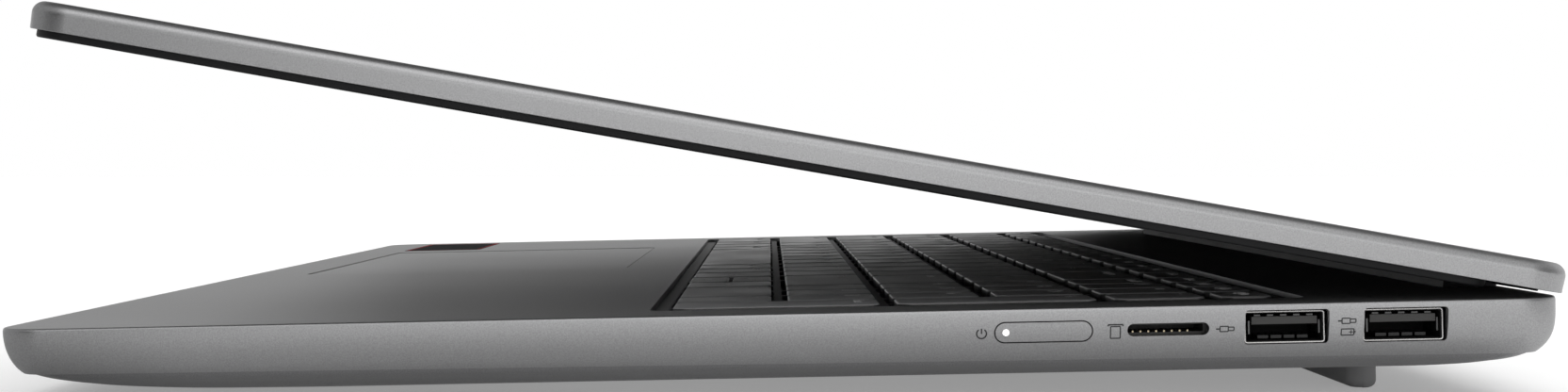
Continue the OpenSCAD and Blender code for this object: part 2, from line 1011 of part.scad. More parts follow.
module display_cable() {
    color([0.12, 0.12, 0.12])
        on_lid()
            block([96, 229.6, 3.6], [116, 239, 3.9]);
}

// ---- keys ----

// How far the stem block stays inside its cap
stem_in = -2.5;

module function_keys() {
    caps() {
        row_area(5, 0, 15, 0);
        row_area(5, 0, 15, stem_in);
    }
}

module number_keys() {
    caps() {
        row_area(4, 1, 13, 0);
        row_area(4, 1, 13, stem_in);
    }
}

module backspace_key() {
    caps() {
        row_area(4, 0, 0, 0);
        row_area(4, 0, 0, stem_in);
    }
}

module tab_key() {
    caps() {
        row_area(3, 13, 13, 0);
        row_area(3, 13, 13, stem_in);
    }
}

module upper_letter_keys() {
    caps() {
        row_area(3, 0, 12, 0);
        row_area(3, 0, 12, stem_in);
    }
}

module caps_lock_key() {
    caps() {
        row_area(2, 12, 12, 0);
        row_area(2, 12, 12, stem_in);
    }
}

module home_letter_keys() {
    caps() {
        row_area(2, 1, 11, 0);
        row_area(2, 1, 11, stem_in);
    }
}

module enter_key() {
    caps() {
        row_area(2, 0, 0, 0);
        row_area(2, 0, 0, stem_in);
    }
}

module left_shift_key() {
    caps() {
        row_area(1, 11, 11, 0);
        row_area(1, 11, 11, stem_in);
    }
}

module lower_letter_keys() {
    caps() {
        row_area(1, 1, 10, 0);
        row_area(1, 1, 10, stem_in);
    }
}

module right_shift_key() {
    caps() {
        row_area(1, 0, 0, 0);
        row_area(1, 0, 0, stem_in);
    }
}

// The keys on both sides of the space bar
module modifier_area(grow) {
    row_area(0, 3, 4, grow);
    row_area(0, 6, 9, grow);
}

module modifier_keys() {
    caps() {
        modifier_area(0);
        modifier_area(stem_in);
    }
}

module space_bar() {
    caps() {
        row_area(0, 5, 5, 0);
        row_area(0, 5, 5, stem_in);
    }
}

module left_arrow_key() {
    caps() {
        row_area(0, 2, 2, 0);
        row_area(0, 2, 2, stem_in);
    }
}

module up_arrow_key() {
    caps() {
        up_area(0);
        up_area(stem_in);
    }
}

module down_arrow_key() {
    caps() {
        down_area(0);
        down_area(stem_in);
    }
}

module right_arrow_key() {
    caps() {
        row_area(0, 0, 0, 0);
        row_area(0, 0, 0, stem_in);
    }
}

module numpad_keys() {
    caps() {
        digit_area(0);
        digit_area(stem_in);
    }
}

module numpad_plus_key() {
    caps() {
        pad_area(0, 2, 1, 2, 0);
        pad_area(0, 2, 1, 2, stem_in);
    }
}

module numpad_enter_key() {
    caps() {
        pad_area(0, 0, 1, 2, 0);
        pad_area(0, 0, 1, 2, stem_in);
    }
}

top_case();
bottom_cover();
front_feet();
rear_foot();
cover_screws();
keyboard_frame();
keyboard_plate();
key_domes();
touchpad();
battery_pack();
motherboard();
heat_pipe();
heatsink_fins();
fan_housing();
fan_rotor();
ssd_module();
wifi_module();
speakers();
usb_a_shells();
usb_a_tongues();
card_slot();
usb_c_shells();
hdmi_shell();
audio_jack();
power_button();
power_led();
hinge_brackets();
hinge_pins();
palm_sticker();
lid_cover();
display_panel();
display_bezel();
bezel_gasket();
hinge_cover();
hinge_arms();
camera_module();
camera_shutter();
display_cable();
function_keys();
number_keys();
backspace_key();
tab_key();
upper_letter_keys();
caps_lock_key();
home_letter_keys();
enter_key();
left_shift_key();
lower_letter_keys();
right_shift_key();
modifier_keys();
space_bar();
left_arrow_key();
up_arrow_key();
down_arrow_key();
right_arrow_key();
numpad_keys();
numpad_plus_key();
numpad_enter_key();
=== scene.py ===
import json
import math
from types import SimpleNamespace

import bmesh
import bpy
from mathutils import Matrix, Vector


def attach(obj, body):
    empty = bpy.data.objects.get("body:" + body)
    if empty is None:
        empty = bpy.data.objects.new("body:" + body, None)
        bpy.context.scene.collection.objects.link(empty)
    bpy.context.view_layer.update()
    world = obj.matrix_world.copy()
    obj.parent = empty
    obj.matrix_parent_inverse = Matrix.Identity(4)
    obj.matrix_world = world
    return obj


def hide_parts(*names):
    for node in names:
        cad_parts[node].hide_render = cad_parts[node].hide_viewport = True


bl_info = {
    "name": "Laptop Computer",
    "version": (1, 0, 0),
    "blender": (4, 5, 0),
    "location": "View3D > Sidebar > Laptop",
    "description": "Dresses the laptop's frame with its shells, keys, ports and finishes",
    "category": "Object",
}

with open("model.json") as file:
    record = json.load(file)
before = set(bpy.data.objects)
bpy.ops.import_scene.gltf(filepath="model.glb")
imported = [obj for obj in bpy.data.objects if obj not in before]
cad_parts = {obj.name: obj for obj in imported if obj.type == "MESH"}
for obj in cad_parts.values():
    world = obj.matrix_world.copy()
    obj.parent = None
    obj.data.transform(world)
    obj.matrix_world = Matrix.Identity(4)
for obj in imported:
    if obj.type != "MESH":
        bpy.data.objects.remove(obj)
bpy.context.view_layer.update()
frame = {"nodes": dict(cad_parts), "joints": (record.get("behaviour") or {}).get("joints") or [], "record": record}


# ---- settings ----


def length(name, text, metres):
    return bpy.props.FloatProperty(name=name, description=text, default=metres, unit="LENGTH", precision=5)


def angle(name, text, degrees):
    turn = math.radians(degrees)
    return bpy.props.FloatProperty(name=name, description=text, default=turn, subtype="ANGLE")


def colour(name, text, *rgb):
    return bpy.props.FloatVectorProperty(
        name=name, description=text, default=rgb, size=3, min=0, max=1, subtype="COLOR"
    )


class LaptopSizes(bpy.types.PropertyGroup):
    """Sizes of the laptop, the same as in its frame."""

    body_width: length("Body width", "Width of the base and the lid", 0.357)
    base_depth: length("Base depth", "Depth of the base", 0.2506)
    lid_depth: length("Lid depth", "Depth of the lid", 0.25113)
    corner: length("Corner radius", "Plan radius of the corners", 0.0078)
    base_tilt: angle("Base tilt", "Rise of the deck towards the hinge", 1.19)
    lid_angle: angle("Lid angle", "Opening of the lid at rest", 11.02)
    hinge_back: length("Hinge depth", "Hinge axis behind the front edge", 0.24535)
    hinge_height: length("Hinge height", "Hinge axis above the deck", -0.00457)
    notch_width: length("Notch width", "Width of the notch that the hinge cover turns in", 0.293)
    parting_front: length("Front parting line", "Depth of the parting line at the front", 0.0075)
    parting_rear: length("Rear parting line", "Depth of the parting line at the rear", 0.00895)
    deck_edge: length("Deck edge", "Radius of the deck's edge", 0.0005)
    wall: length("Wall", "Wall of the metal case", 0.0012)
    lid_gap: length("Lid gap", "Gap from the deck to the closed metal lid", 0.0013)
    lid_height: length("Lid height", "Height of the metal lid", 0.00466)
    lid_edge: length("Lid edge", "Radius of the lid's top edge", 0.002)
    lid_overhang: length("Lid overhang", "Overhang of the closed lid at the front", 0.0004)
    bezel_gap: length("Bezel gap", "Gap from the deck to the closed display frame", 0.00008)
    bezel_rear: length("Bezel rear", "Rear edge of the display frame", 0.2382)
    window_width: length("Window width", "Width of the display's window", 0.3446)
    window_depth: length("Window depth", "Depth of the display's window", 0.2154)
    window_front: length("Window front", "Front edge of the display's window", 0.008)
    keys_front: length("Keys front", "Front of the first row of keys", 0.1059)
    row_pitch: length("Row pitch", "Pitch of the letter rows", 0.0181)
    front_row: length("Front row", "Depth of the front row", 0.0194)
    function_row: length("Function row", "Depth of the function row", 0.011)
    pad_pitch: length("Number pad pitch", "Pitch of the number pad", 0.0149)
    key_gap: length("Key gap", "Gap between two keys", 0.0024)
    keys_right: length("Keys right", "Distance of the number pad from the right side", 0.0155)
    touch_width: length("Touchpad width", "Width of the touchpad", 0.1222)
    touch_depth: length("Touchpad depth", "Depth of the touchpad", 0.0755)
    touch_x: length("Touchpad centre", "Centre of the touchpad, left of the middle", -0.0462)
    touch_front: length("Touchpad front", "Front edge of the touchpad", 0.0144)
    port_height: length("Port height", "Height of the ports' centres above the deck", -0.00378)


class LaptopColours(bpy.types.PropertyGroup):
    """Colours of the laptop."""

    case: colour("Case", "Anodised metal of the case", 0.39, 0.39, 0.395)
    cover: colour("Bottom cover", "Anodised metal of the bottom cover", 0.3, 0.3, 0.305)
    lid: colour("Lid", "Anodised metal of the lid", 0.39, 0.39, 0.395)
    # Partly painted light: paler than the keys' own dark grey, to make up for the shade under the lid
    keys: colour("Keys", "Plastic of the keys", 0.33, 0.33, 0.335)
    legends: colour("Legends", "Paint of the marks on the keys", 0.85, 0.85, 0.85)
    marks: colour("Marks", "Paint of the marks beside the ports", 0.02, 0.02, 0.021)
    bezel: colour("Bezel", "Plastic around the display", 0.008, 0.008, 0.009)
    display: colour("Display", "Display that is off", 0.004, 0.004, 0.005)
    glow: colour("Power light", "Light in the power button", 1.0, 1.0, 1.0)
    floor: colour("Floor", "Studio floor", 0.76, 0.76, 0.76)


def sizes():
    """The sizes in millimetres, and the angles in radians."""
    held = bpy.context.scene.laptop_sizes
    return SimpleNamespace(
        **{
            p.identifier: getattr(held, p.identifier) * (1 if p.unit == "ROTATION" else 1000)
            for p in held.bl_rna.properties
            if p.type == "FLOAT"
        }
    )


def tint(name):
    return (*getattr(bpy.context.scene.laptop_colours, name), 1.0)


def grey(level):
    return (level, level, level, 1)


# ---- placing ----


def deck_place():
    """From the deck's own frame, in millimetres from its front edge, to the model's."""
    s = sizes()
    hinge = next(j for j in frame["joints"] if j["name"] == "lid_hinge")
    turn = Matrix.Rotation(s.base_tilt, 4, "X")
    move = Vector(hinge["pos_m"]) * 1000 - turn @ Vector((0, s.hinge_back, s.hinge_height))
    return Matrix.Scale(0.001, 4) @ Matrix.Translation(move) @ turn


def lid_place():
    """From the closed lid's frame to the model's, with the lid open as at rest."""
    s = sizes()
    hinge = Matrix.Translation((0, s.hinge_back, s.hinge_height))
    return deck_place() @ hinge @ Matrix.Rotation(-s.lid_angle, 4, "X") @ hinge.inverted()


def sideways(x, y, z):
    """Stands a plan shape up on the side wall, facing +X."""
    turn = Matrix(((0, 0, 1, 0), (1, 0, 0, 0), (0, 1, 0, 0), (0, 0, 0, 1)))
    return Matrix.Translation((x, y, z)) @ turn


# ---- shader nodes ----


class Wire:
    """An output of a node that sums and products can be made with."""

    def __init__(self, maker, socket):
        self.maker = maker
        self.socket = socket

    def math(self, operation, *values):
        return self.maker.node("ShaderNodeMath", {"operation": operation}, dict(enumerate(values)))

    def __add__(self, other):
        return self.math("ADD", self, other)

    def __sub__(self, other):
        return self.math("SUBTRACT", self, other)

    def __rsub__(self, other):
        return self.math("SUBTRACT", other, self)

    def __mul__(self, other):
        return self.math("MULTIPLY", self, other)

    __radd__ = __add__
    __rmul__ = __mul__


class Finish:
    """Makes the nodes of one material, or of the world."""

    def __init__(self, name, kind="materials"):
        self.material = getattr(bpy.data, kind).new(name)
        self.material.use_nodes = True
        self.tree = self.material.node_tree
        self.tree.nodes.clear()

    def node(self, kind, settings=None, values=None, out=0):
        made = self.tree.nodes.new(kind)
        for name, value in (settings or {}).items():
            if name == "stops":
                ramp = made.color_ramp
                while len(ramp.elements) < len(value):
                    ramp.elements.new(0.5)
                for element, (position, shade) in zip(ramp.elements, value):
                    element.position = position
                    element.color = grey(shade)
            else:
                setattr(made, name, value)
        for name, value in (values or {}).items():
            if isinstance(value, Wire):
                self.tree.links.new(value.socket, made.inputs[name])
            else:
                made.inputs[name].default_value = value
        return Wire(self, made.outputs[out]) if made.outputs else None

    def place(self, stretch=(1, 1, 1), turn=(0, 0, 0)):
        """Object coordinates in millimetres."""
        where = self.node("ShaderNodeTexCoord", out="Object")
        scale = [1000 * k for k in stretch]
        return self.node("ShaderNodeMapping", {}, {"Vector": where, "Rotation": turn, "Scale": scale})

    def noise(self, per_mm, detail=2.0, roughness=0.5, stretch=(1, 1, 1)):
        values = {"Vector": self.place(stretch), "Scale": per_mm, "Detail": detail, "Roughness": roughness}
        return self.node("ShaderNodeTexNoise", {}, values)

    def ramp(self, value, *stops):
        return self.node("ShaderNodeValToRGB", {"stops": stops}, {"Fac": value})

    def mix(self, factor, first, second, blend="MIX"):
        settings = {"data_type": "RGBA", "blend_type": blend}
        return self.node("ShaderNodeMix", settings, {0: factor, 6: first, 7: second}, out=2)

    def blend(self, share, first, second):
        """A number between two others."""
        return self.node("ShaderNodeMix", {"data_type": "FLOAT"}, {0: share, 2: first, 3: second})

    def along(self, vector, axis):
        return self.node("ShaderNodeSeparateXYZ", {}, {"Vector": vector}, out=axis)

    def rays(self):
        """Whether the camera looks, and whether metal or glass does."""
        kinds = ("Camera", "Glossy", "Transmission")
        camera, glossy, through = (self.node("ShaderNodeLightPath", out=f"Is {kind} Ray") for kind in kinds)
        return camera, glossy.math("MAXIMUM", glossy, through)

    def bump(self, height, strength, distance_mm):
        values = {"Height": height, "Strength": strength, "Distance": distance_mm / 1000}
        return self.node("ShaderNodeBump", {}, values)

    def surface(self, **values):
        names = (name.replace("_", " ").title().replace("Ior", "IOR") for name in values)
        shader = self.node("ShaderNodeBsdfPrincipled", {}, dict(zip(names, values.values())))
        self.node("ShaderNodeOutputMaterial", {}, {"Surface": shader})
        return self.material


def shades(rgba, low, high):
    """A darker and a lighter shade of a colour."""
    return [tuple(min(1, c * k) for c in rgba[:3]) + (1,) for k in (low, high)]


def blasted_metal(name, rgba, roughness=0.41):
    """Anodised metal, blasted with fine sand: a speckle in colour, gloss and relief."""
    f = Finish(name)
    grain = f.noise(4.5, 2, 0.6)
    cloud = f.noise(0.012, 3)
    dark, light = shades(rgba, 0.86, 1.14)
    speckled = f.mix(f.ramp(grain, (0.32, 0), (0.68, 1)), dark, light)
    soft = f.ramp(cloud, (0.3, 0.93), (0.7, 1.0))
    return f.surface(
        base_color=f.mix(1.0, speckled, soft, "MULTIPLY"),
        metallic=1.0,
        roughness=roughness + 0.1 * (grain - 0.5) + 0.05 * (cloud - 0.5),
        normal=f.bump(grain, 0.35, 0.02),
    )


def moulded(name, rgba, roughness=0.5, grain=3.0, depth=0.015, gloss=0.5):
    """Moulded plastic with a fine spark-eroded grain, so many to a millimetre and so deep."""
    f = Finish(name)
    fine = f.noise(grain, 3, 0.6)
    cloud = f.noise(0.05, 3)
    dark, light = shades(rgba, 0.88, 1.12)
    return f.surface(
        base_color=f.mix(cloud, dark, light),
        roughness=roughness + 0.12 * (fine - 0.5) + 0.1 * (cloud - 0.5),
        specular_ior_level=gloss,
        normal=f.bump(fine, 0.3, depth),
    )


def rubber(name, rgba):
    """Matt rubber with a coarser grain than plastic."""
    return moulded(name, rgba, 0.78, 2.0, 0.03)


def brushed(name, rgba, roughness=0.3):
    """Bright metal with fine lines drawn along X."""
    f = Finish(name)
    lines = f.noise(6.0, 3, 0.6, (0.05, 1, 1))
    patches = f.noise(0.25, 3)
    dark, light = shades(rgba, 0.8, 1.12)
    return f.surface(
        base_color=f.mix(lines, dark, light),
        metallic=1.0,
        roughness=roughness + 0.18 * (lines - 0.5) + 0.1 * (patches - 0.5),
        normal=f.bump(lines, 0.25, 0.01),
    )


def board(name):
    """Circuit board: solder mask over copper tracks."""
    f = Finish(name)
    settings = {"feature": "DISTANCE_TO_EDGE"}
    cells = f.node("ShaderNodeTexVoronoi", settings, {"Vector": f.place(), "Scale": 0.35})
    tracks = f.ramp(cells, (0.04, 1), (0.09, 0))
    return f.surface(
        base_color=f.mix(tracks, (0.008, 0.05, 0.028, 1), (0.03, 0.14, 0.07, 1)),
        roughness=0.35 + 0.2 * f.noise(0.6),
        coat_weight=0.4,
        normal=f.bump(tracks, 0.3, 0.04),
    )


def wrap(name):
    """Shrunk film around the cells, with shallow wrinkles."""
    f = Finish(name)
    folds = f.noise(0.18, 4, 0.55, (1, 0.4, 1))
    return f.surface(
        base_color=f.mix(folds, (0.008, 0.008, 0.009, 1), (0.022, 0.022, 0.024, 1)),
        roughness=0.3 + 0.2 * folds,
        normal=f.bump(folds, 0.4, 0.3),
    )


def on_deck(f, axis):
    """Distance along one axis of the deck, in millimetres."""
    start = deck_place().inverted().translation
    turned = f.place(turn=(-sizes().base_tilt, 0, 0))
    return f.along(turned, axis) + start["XYZ".index(axis)]


def frame_plastic(name):
    """Keyboard frame: pale on the ledge in front of the keys, with painted shade darkening it between the keys."""
    f = Finish(name)
    fine = f.noise(3.0, 3, 0.6)
    # Painted shade: the frame is near black between the keys and pale only on the ledge in front of them
    unshaded_ledge = f.ramp(0.1 * (on_deck(f, "Y") - 100), (0.62, 1), (0.66, 0))
    return f.surface(
        base_color=f.mix(unshaded_ledge, (0.03, 0.03, 0.032, 1), (0.17, 0.17, 0.175, 1)),
        roughness=0.5 + 0.12 * (fine - 0.5),
        specular_ior_level=0.3,
        normal=f.bump(fine, 0.3, 0.015),
    )


def key_plastic(name, rgba):
    """Key caps: matt paint, a little glossier where fingers rub, with painted shade making their sides below the
    top near black.
    """
    f = Finish(name)
    # Painted shade: below the top of each cap its sides turn near black
    unshaded_tops = f.ramp(on_deck(f, "Z") + 0.5, (0.36, 0), (0.47, 1))
    fine = f.noise(5.0, 3, 0.6)
    rubbed = f.ramp(f.noise(0.07, 2), (0.42, 0), (0.66, 1))
    dark, light = shades(rgba, 0.88, 1.12)
    return f.surface(
        base_color=f.mix(unshaded_tops, grey(0.012), f.mix(fine, dark, light)),
        roughness=0.4 + 0.1 * (fine - 0.5) - 0.07 * rubbed,
        specular_ior_level=0.75,
        normal=f.bump(fine, 0.25, 0.012),
    )


def display_glass(name, rgba):
    """Display that is off, under an anti-glare film with a fine haze."""
    f = Finish(name)
    haze = f.noise(7.0, 2, 0.6)
    wiped = f.noise(0.02, 3, 0.55, (1, 0.35, 1))
    dark, light = shades(rgba, 0.8, 1.3)
    return f.surface(
        base_color=f.mix(wiped, dark, light),
        roughness=0.46 + 0.06 * (haze - 0.5) + 0.07 * (wiped - 0.5),
        specular_ior_level=0.3,
        normal=f.bump(haze, 0.12, 0.006),
    )


def lens_glass(name):
    """Small dark lens with a purple coating."""
    f = Finish(name)
    ring = f.noise(0.8, 1)
    return f.surface(
        base_color=f.mix(ring, (0.004, 0.004, 0.01, 1), (0.02, 0.01, 0.035, 1)),
        roughness=0.06 + 0.04 * ring,
        coat_weight=1.0,
    )


def light_guide(name, rgba):
    """Frosted light guide that glows."""
    f = Finish(name)
    frost = f.noise(3.0, 2)
    return f.surface(
        base_color=grey(0.8),
        emission_color=f.mix(frost, rgba, tuple(0.86 * c for c in rgba[:3]) + (1,)),
        emission_strength=1.6,
        roughness=0.35,
    )


# How each finish is made: its maker, then its colour, or the name of the colour, and the maker's other values
FINISHES = {
    "case_metal": (blasted_metal, "case"),
    "cover_metal": (blasted_metal, "cover", 0.42),
    "lid_metal": (blasted_metal, "lid", 0.38),
    "button_metal": (blasted_metal, "case", 0.38),
    "touch_surface": (blasted_metal, "case", 0.4),
    "foot_rubber": (rubber, (0.02, 0.02, 0.021)),
    "rear_foot_rubber": (rubber, (0.46, 0.46, 0.465)),
    "dome_rubber": (rubber, (0.05, 0.05, 0.05)),
    "gasket_rubber": (rubber, (0.01, 0.01, 0.01)),
    "key_caps": (key_plastic, "keys"),
    "key_frame": (frame_plastic,),
    "legend_paint": (moulded, "legends", 0.6, 5.0, 0.004),
    "mark_paint": (moulded, "marks", 0.6, 5.0, 0.004),
    "bezel_plastic": (moulded, "bezel", 0.5, 4.0, 0.012, 0.22),
    "display_glass": (display_glass, "display"),
    "camera_glass": (lens_glass,),
    "led_lens": (light_guide, "glow"),
    "circuit_board": (board,),
    "battery_wrap": (wrap,),
    "cable_film": (moulded, (0.02, 0.02, 0.022), 0.4, 2.0),
    "sticker_film": (moulded, (0.012, 0.012, 0.013), 0.8, 1.0, 0.004, 0.08),
    "sticker_border": (moulded, (0.4, 0.014, 0.018), 0.75, 2.0, 0.004, 0.1),
    "key_plate": (brushed, (0.35, 0.35, 0.35), 0.4),
    "connector_shell": (brushed, (0.6, 0.59, 0.58), 0.27),
    "contact_gold": (brushed, (0.5, 0.43, 0.3)),
    "copper": (brushed, (0.72, 0.36, 0.22)),
    "shield_can": (brushed, (0.55, 0.55, 0.54), 0.35),
    "screw_steel": (brushed, (0.3, 0.3, 0.31)),
    "hinge_steel": (brushed, (0.36, 0.36, 0.37), 0.35),
    "port_springs": (brushed, (0.12, 0.12, 0.12), 0.4),
    # The near-black lining inside the USB shells: painted shade
    "port_liner": (moulded, (0.012, 0.012, 0.012), 0.6, 3.0, 0.015, 0.15),
    "connector_tongue": (moulded, (0.05, 0.049, 0.047)),
    "connector_plastic": (moulded, (0.008, 0.008, 0.008), 0.45),
    "shutter_plastic": (moulded, (0.02, 0.02, 0.02)),
    "hinge_plastic": (moulded, (0.034, 0.034, 0.036), 0.55, 3.0, 0.015, 0.3),
    "fan_plastic": (moulded, (0.012, 0.012, 0.013), 0.4),
    "speaker_plastic": (moulded, (0.014, 0.014, 0.014)),
}


def paint(slot):
    """The finish of one material slot, made when it is first asked for."""
    name = "finish_" + slot
    made = bpy.data.materials.get(name)
    if made:
        return made
    maker, *values = FINISHES[slot]
    if values:
        values[0] = tint(values[0]) if isinstance(values[0], str) else (*values[0], 1)
    return maker(name, *values)


# ---- shapes ----


def prism(levels, place=None, arc=8, bm=None):
    """A closed skin through rounded rectangles.

    Each level is x0, x1, y0, y1, radius, height at y0, height at y1.
    """
    bm = bm or bmesh.new()
    before = bm.calc_volume(signed=True)
    layer = bm.verts.layers.int.get("corner") or bm.verts.layers.int.new("corner")
    ring = bmesh.ops.create_circle(bm, segments=4 * arc, radius=1, cap_ends=True)["verts"]
    ring.sort(key=lambda v: math.atan2(v.co.y, v.co.x) % math.tau)
    for i, v in enumerate(ring):
        v[layer] = i
    everything = list(ring)
    face = first = ring[0].link_faces[0]

    def settle(verts, level):
        x0, x1, y0, y1, radius, low, high = level
        for v in verts:
            corner, step = divmod(v[layer], arc)
            turn = math.pi / 2 * (corner + step / (arc - 1))
            x = x1 - radius if corner in (0, 3) else x0 + radius
            y = y1 - radius if corner in (0, 1) else y0 + radius
            z = high if corner in (0, 1) else low
            v.co = (x + radius * math.cos(turn), y + radius * math.sin(turn), z)

    settle(ring, levels[0])
    for level in levels[1:]:
        out = bmesh.ops.extrude_face_region(bm, geom=[face])
        if face is not first:
            bmesh.ops.delete(bm, geom=[face], context="FACES_ONLY")
        verts = [g for g in out["geom"] if isinstance(g, bmesh.types.BMVert)]
        face = next(g for g in out["geom"] if isinstance(g, bmesh.types.BMFace))
        settle(verts, level)
        everything += verts
    if place:
        bmesh.ops.transform(bm, matrix=place, verts=everything)
    skin = list({f for v in everything for f in v.link_faces})
    bmesh.ops.recalc_face_normals(bm, faces=skin)
    if bm.calc_volume(signed=True) < before:
        bmesh.ops.reverse_faces(bm, faces=skin)
    return bm


def slab(w, d, radius, low, high, x=0.0, y=0.0, place=None, arc=8, bm=None):
    """A plain rounded slab, w by d about x, y."""
    plan = (x - w / 2, x + w / 2, y - d / 2, y + d / 2, min(radius, w / 2 - 0.001, d / 2 - 0.001))
    return prism([(*plan, low, low), (*plan, high, high)], place, arc, bm)


def block(x0, x1, y0, y1, z0, z1, bm=None):
    """A box between two corners."""
    size = Matrix.Diagonal((x1 - x0, y1 - y0, z1 - z0, 1))
    move = Matrix.Translation(((x0 + x1) / 2, (y0 + y1) / 2, (z0 + z1) / 2))
    bm = bm or bmesh.new()
    bmesh.ops.create_cube(bm, size=1, matrix=move @ size)
    return bm


def rod(r, low, high, place=None, segments=32, bm=None):
    """A round bar along Z."""
    bm = bm or bmesh.new()
    move = (place or Matrix()) @ Matrix.Translation((0, 0, (low + high) / 2))
    bmesh.ops.create_cone(
        bm, cap_ends=True, segments=segments, radius1=r, radius2=r, depth=high - low, matrix=move
    )
    return bm


def quarter(radius, steps):
    """A rounded edge in steps, from the face to the side: how far in, and how far below the face."""
    turns = [math.pi / 2 * i / steps for i in range(steps + 1)]
    return [(radius * (1 - math.sin(turn)), radius * (1 - math.cos(turn))) for turn in turns]


def soften(bm, edges, size, segments=2):
    """Rounds the given edges."""
    bmesh.ops.bevel(
        bm,
        geom=list(edges),
        offset=size,
        offset_type="OFFSET",
        segments=segments,
        profile=0.5,
        affect="EDGES",
        clamp_overlap=True,
        material=-1,
    )


def corners(bm, low=math.radians(40)):
    """The edges where the surface turns by more than an angle."""
    bm.normal_update()
    return [e for e in bm.edges if e.is_manifold and e.calc_face_angle(0) > low]


def cut_edges(bm):
    """The edges between a face of the shape and one that a tool left."""
    return [
        e
        for e in bm.edges
        if e.is_manifold and e.link_faces[0].material_index != e.link_faces[1].material_index
    ]


def lowest(edge, axis):
    return min(v.co[axis] for v in edge.verts)


def highest(edge, axis):
    return max(v.co[axis] for v in edge.verts)


def meshed(name, bm):
    """The mesh of a shape, which is used up."""
    mesh = bpy.data.meshes.new(name)
    bm.to_mesh(mesh)
    bm.free()
    return mesh


def placed(name, data):
    """An object in the scene."""
    made = bpy.data.objects.new(name, data)
    bpy.context.scene.collection.objects.link(made)
    return made


def temporary(bm, tool):
    """An object to cut, or to cut with. A tool's faces get index 1."""
    if bm.calc_volume(signed=True) < 0:
        raise RuntimeError("a shape is inside out")
    if tool:
        for face in bm.faces:
            face.material_index = 1
    mesh = meshed("shape", bm)
    for name in ("mark_a", "mark_b"):
        mesh.materials.append(bpy.data.materials.get(name) or bpy.data.materials.new(name))
    return placed("shape", mesh)


def evaluated(made):
    """A new mesh of an object, with its modifiers applied."""
    graph = bpy.context.evaluated_depsgraph_get()
    return bpy.data.meshes.new_from_object(made.evaluated_get(graph))


# Points nearer than this, in millimetres, become one after a cut
SAME_PLACE = 0.0005


def carve(bm, tool, operation="DIFFERENCE"):
    """One closed shape less another, or where both are."""
    blank, cutter = temporary(bm, False), temporary(tool, True)
    cutting = blank.modifiers.new("carve", "BOOLEAN")
    cutting.operation = operation
    cutting.object = cutter
    cutting.solver = "EXACT"
    result = evaluated(blank)
    if not result.polygons:
        raise RuntimeError("a shape was cut away entirely")
    carved = bmesh.new()
    carved.from_mesh(result)
    for made in (blank, cutter):
        mesh = made.data
        bpy.data.objects.remove(made)
        bpy.data.meshes.remove(mesh)
    bpy.data.meshes.remove(result)
    bmesh.ops.remove_doubles(carved, verts=carved.verts, dist=SAME_PLACE)
    bmesh.ops.dissolve_degenerate(carved, dist=SAME_PLACE, edges=carved.edges)
    return carved


def hand_over(name, bm, body, slot, nodes=(), sharp=32):
    """Makes the object of a shape, puts it on the deck or the lid, paints it and hangs it on its body."""
    place = lid_place() if body == "lid" else deck_place()
    bmesh.ops.transform(bm, matrix=place, verts=bm.verts)
    for face in bm.faces:
        face.smooth = True
        face.material_index = 0
    for edge in bm.edges:
        edge.smooth = len(edge.link_faces) == 2 and edge.calc_face_angle(0) < math.radians(sharp)
    mesh = meshed(name, bm)
    mesh.materials.append(paint(slot))
    made = placed(name, mesh)
    weighted = made.modifiers.new("weighted", "WEIGHTED_NORMAL")
    weighted.keep_sharp = True
    weighted.weight = 100
    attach(made, body)
    if nodes:
        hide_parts(*nodes)
    return made


# ---- the case and the cover ----


# Curve of the side wall: how far in it would end, and the share of its height where the parting line is
WALL_CURVE, PARTING_SHARE = 5.6, 0.9
# Curve of the rear wall: how far in it is at the parting line, and the power that it grows with
REAR_CURVE, REAR_POWER = 3.1, 3.9
# The parting line slopes between the corners, and is level for this length at both ends
LEVEL_END = 7


def wall_inset(share):
    """How far in the side wall is, at a share of its curve's height."""
    return WALL_CURVE * (1 - math.sqrt(1 - share * share))


def rear_inset(share):
    """The same for the rear wall."""
    return REAR_CURVE * (share / PARTING_SHARE) ** REAR_POWER


def base_level(s, side, front, rear, low, high, radius):
    """Plan of the base less an inset for each side, so far below the deck at the front and at the rear."""
    half = s.body_width / 2
    return (side - half, half - side, front, s.base_depth - rear, radius, -low, -high)


def case_levels(s):
    """Levels of the case's outside, from the deck down to the parting line."""
    levels = [
        base_level(s, inset, inset, inset, drop, drop, s.corner - inset)
        for inset, drop in quarter(s.deck_edge, 6)
    ]
    for i in range(1, 19):
        share = i / 20
        inset = wall_inset(share)
        down = share / PARTING_SHARE
        drops = [s.deck_edge + down * (p - s.deck_edge) for p in (s.parting_front, s.parting_rear)]
        levels.append(base_level(s, inset, inset, rear_inset(share), *drops, s.corner - inset))
    return levels


def wall_x(s, y, z):
    """Where the side wall is, at a distance from the front and a height."""
    slope = (s.parting_rear - s.parting_front) / (s.base_depth - 2 * LEVEL_END)
    parting = s.parting_front + slope * (y - LEVEL_END)
    share = PARTING_SHARE * (-z - s.deck_edge) / (parting - s.deck_edge)
    return s.body_width / 2 - wall_inset(min(max(share, 0), 0.95))


# Middles of the ports, of the button and of its light, behind the front edge
USB_A = (205.75, 224.6)
USB_C = (191.5, 207.5)
CARD, BUTTON, LED, HDMI, JACK = 186.9, 167.15, 161.2, 171.0, 224.0
JACK_RADIUS = 2.8
# Openings in the side walls: side, middles, width, height, corner radius and points round a corner
OPENINGS = (
    (1, USB_A, 13.3, 5.5, 0.55, 8),
    (1, (CARD,), 13, 2.05, 1.02, 8),
    (1, (BUTTON,), 15.7, 3.48, 1.74, 12),
    (-1, USB_C, 9, 3.2, 1.6, 8),
    (-1, (HDMI,), 15, 5.4, 0.5, 8),
)
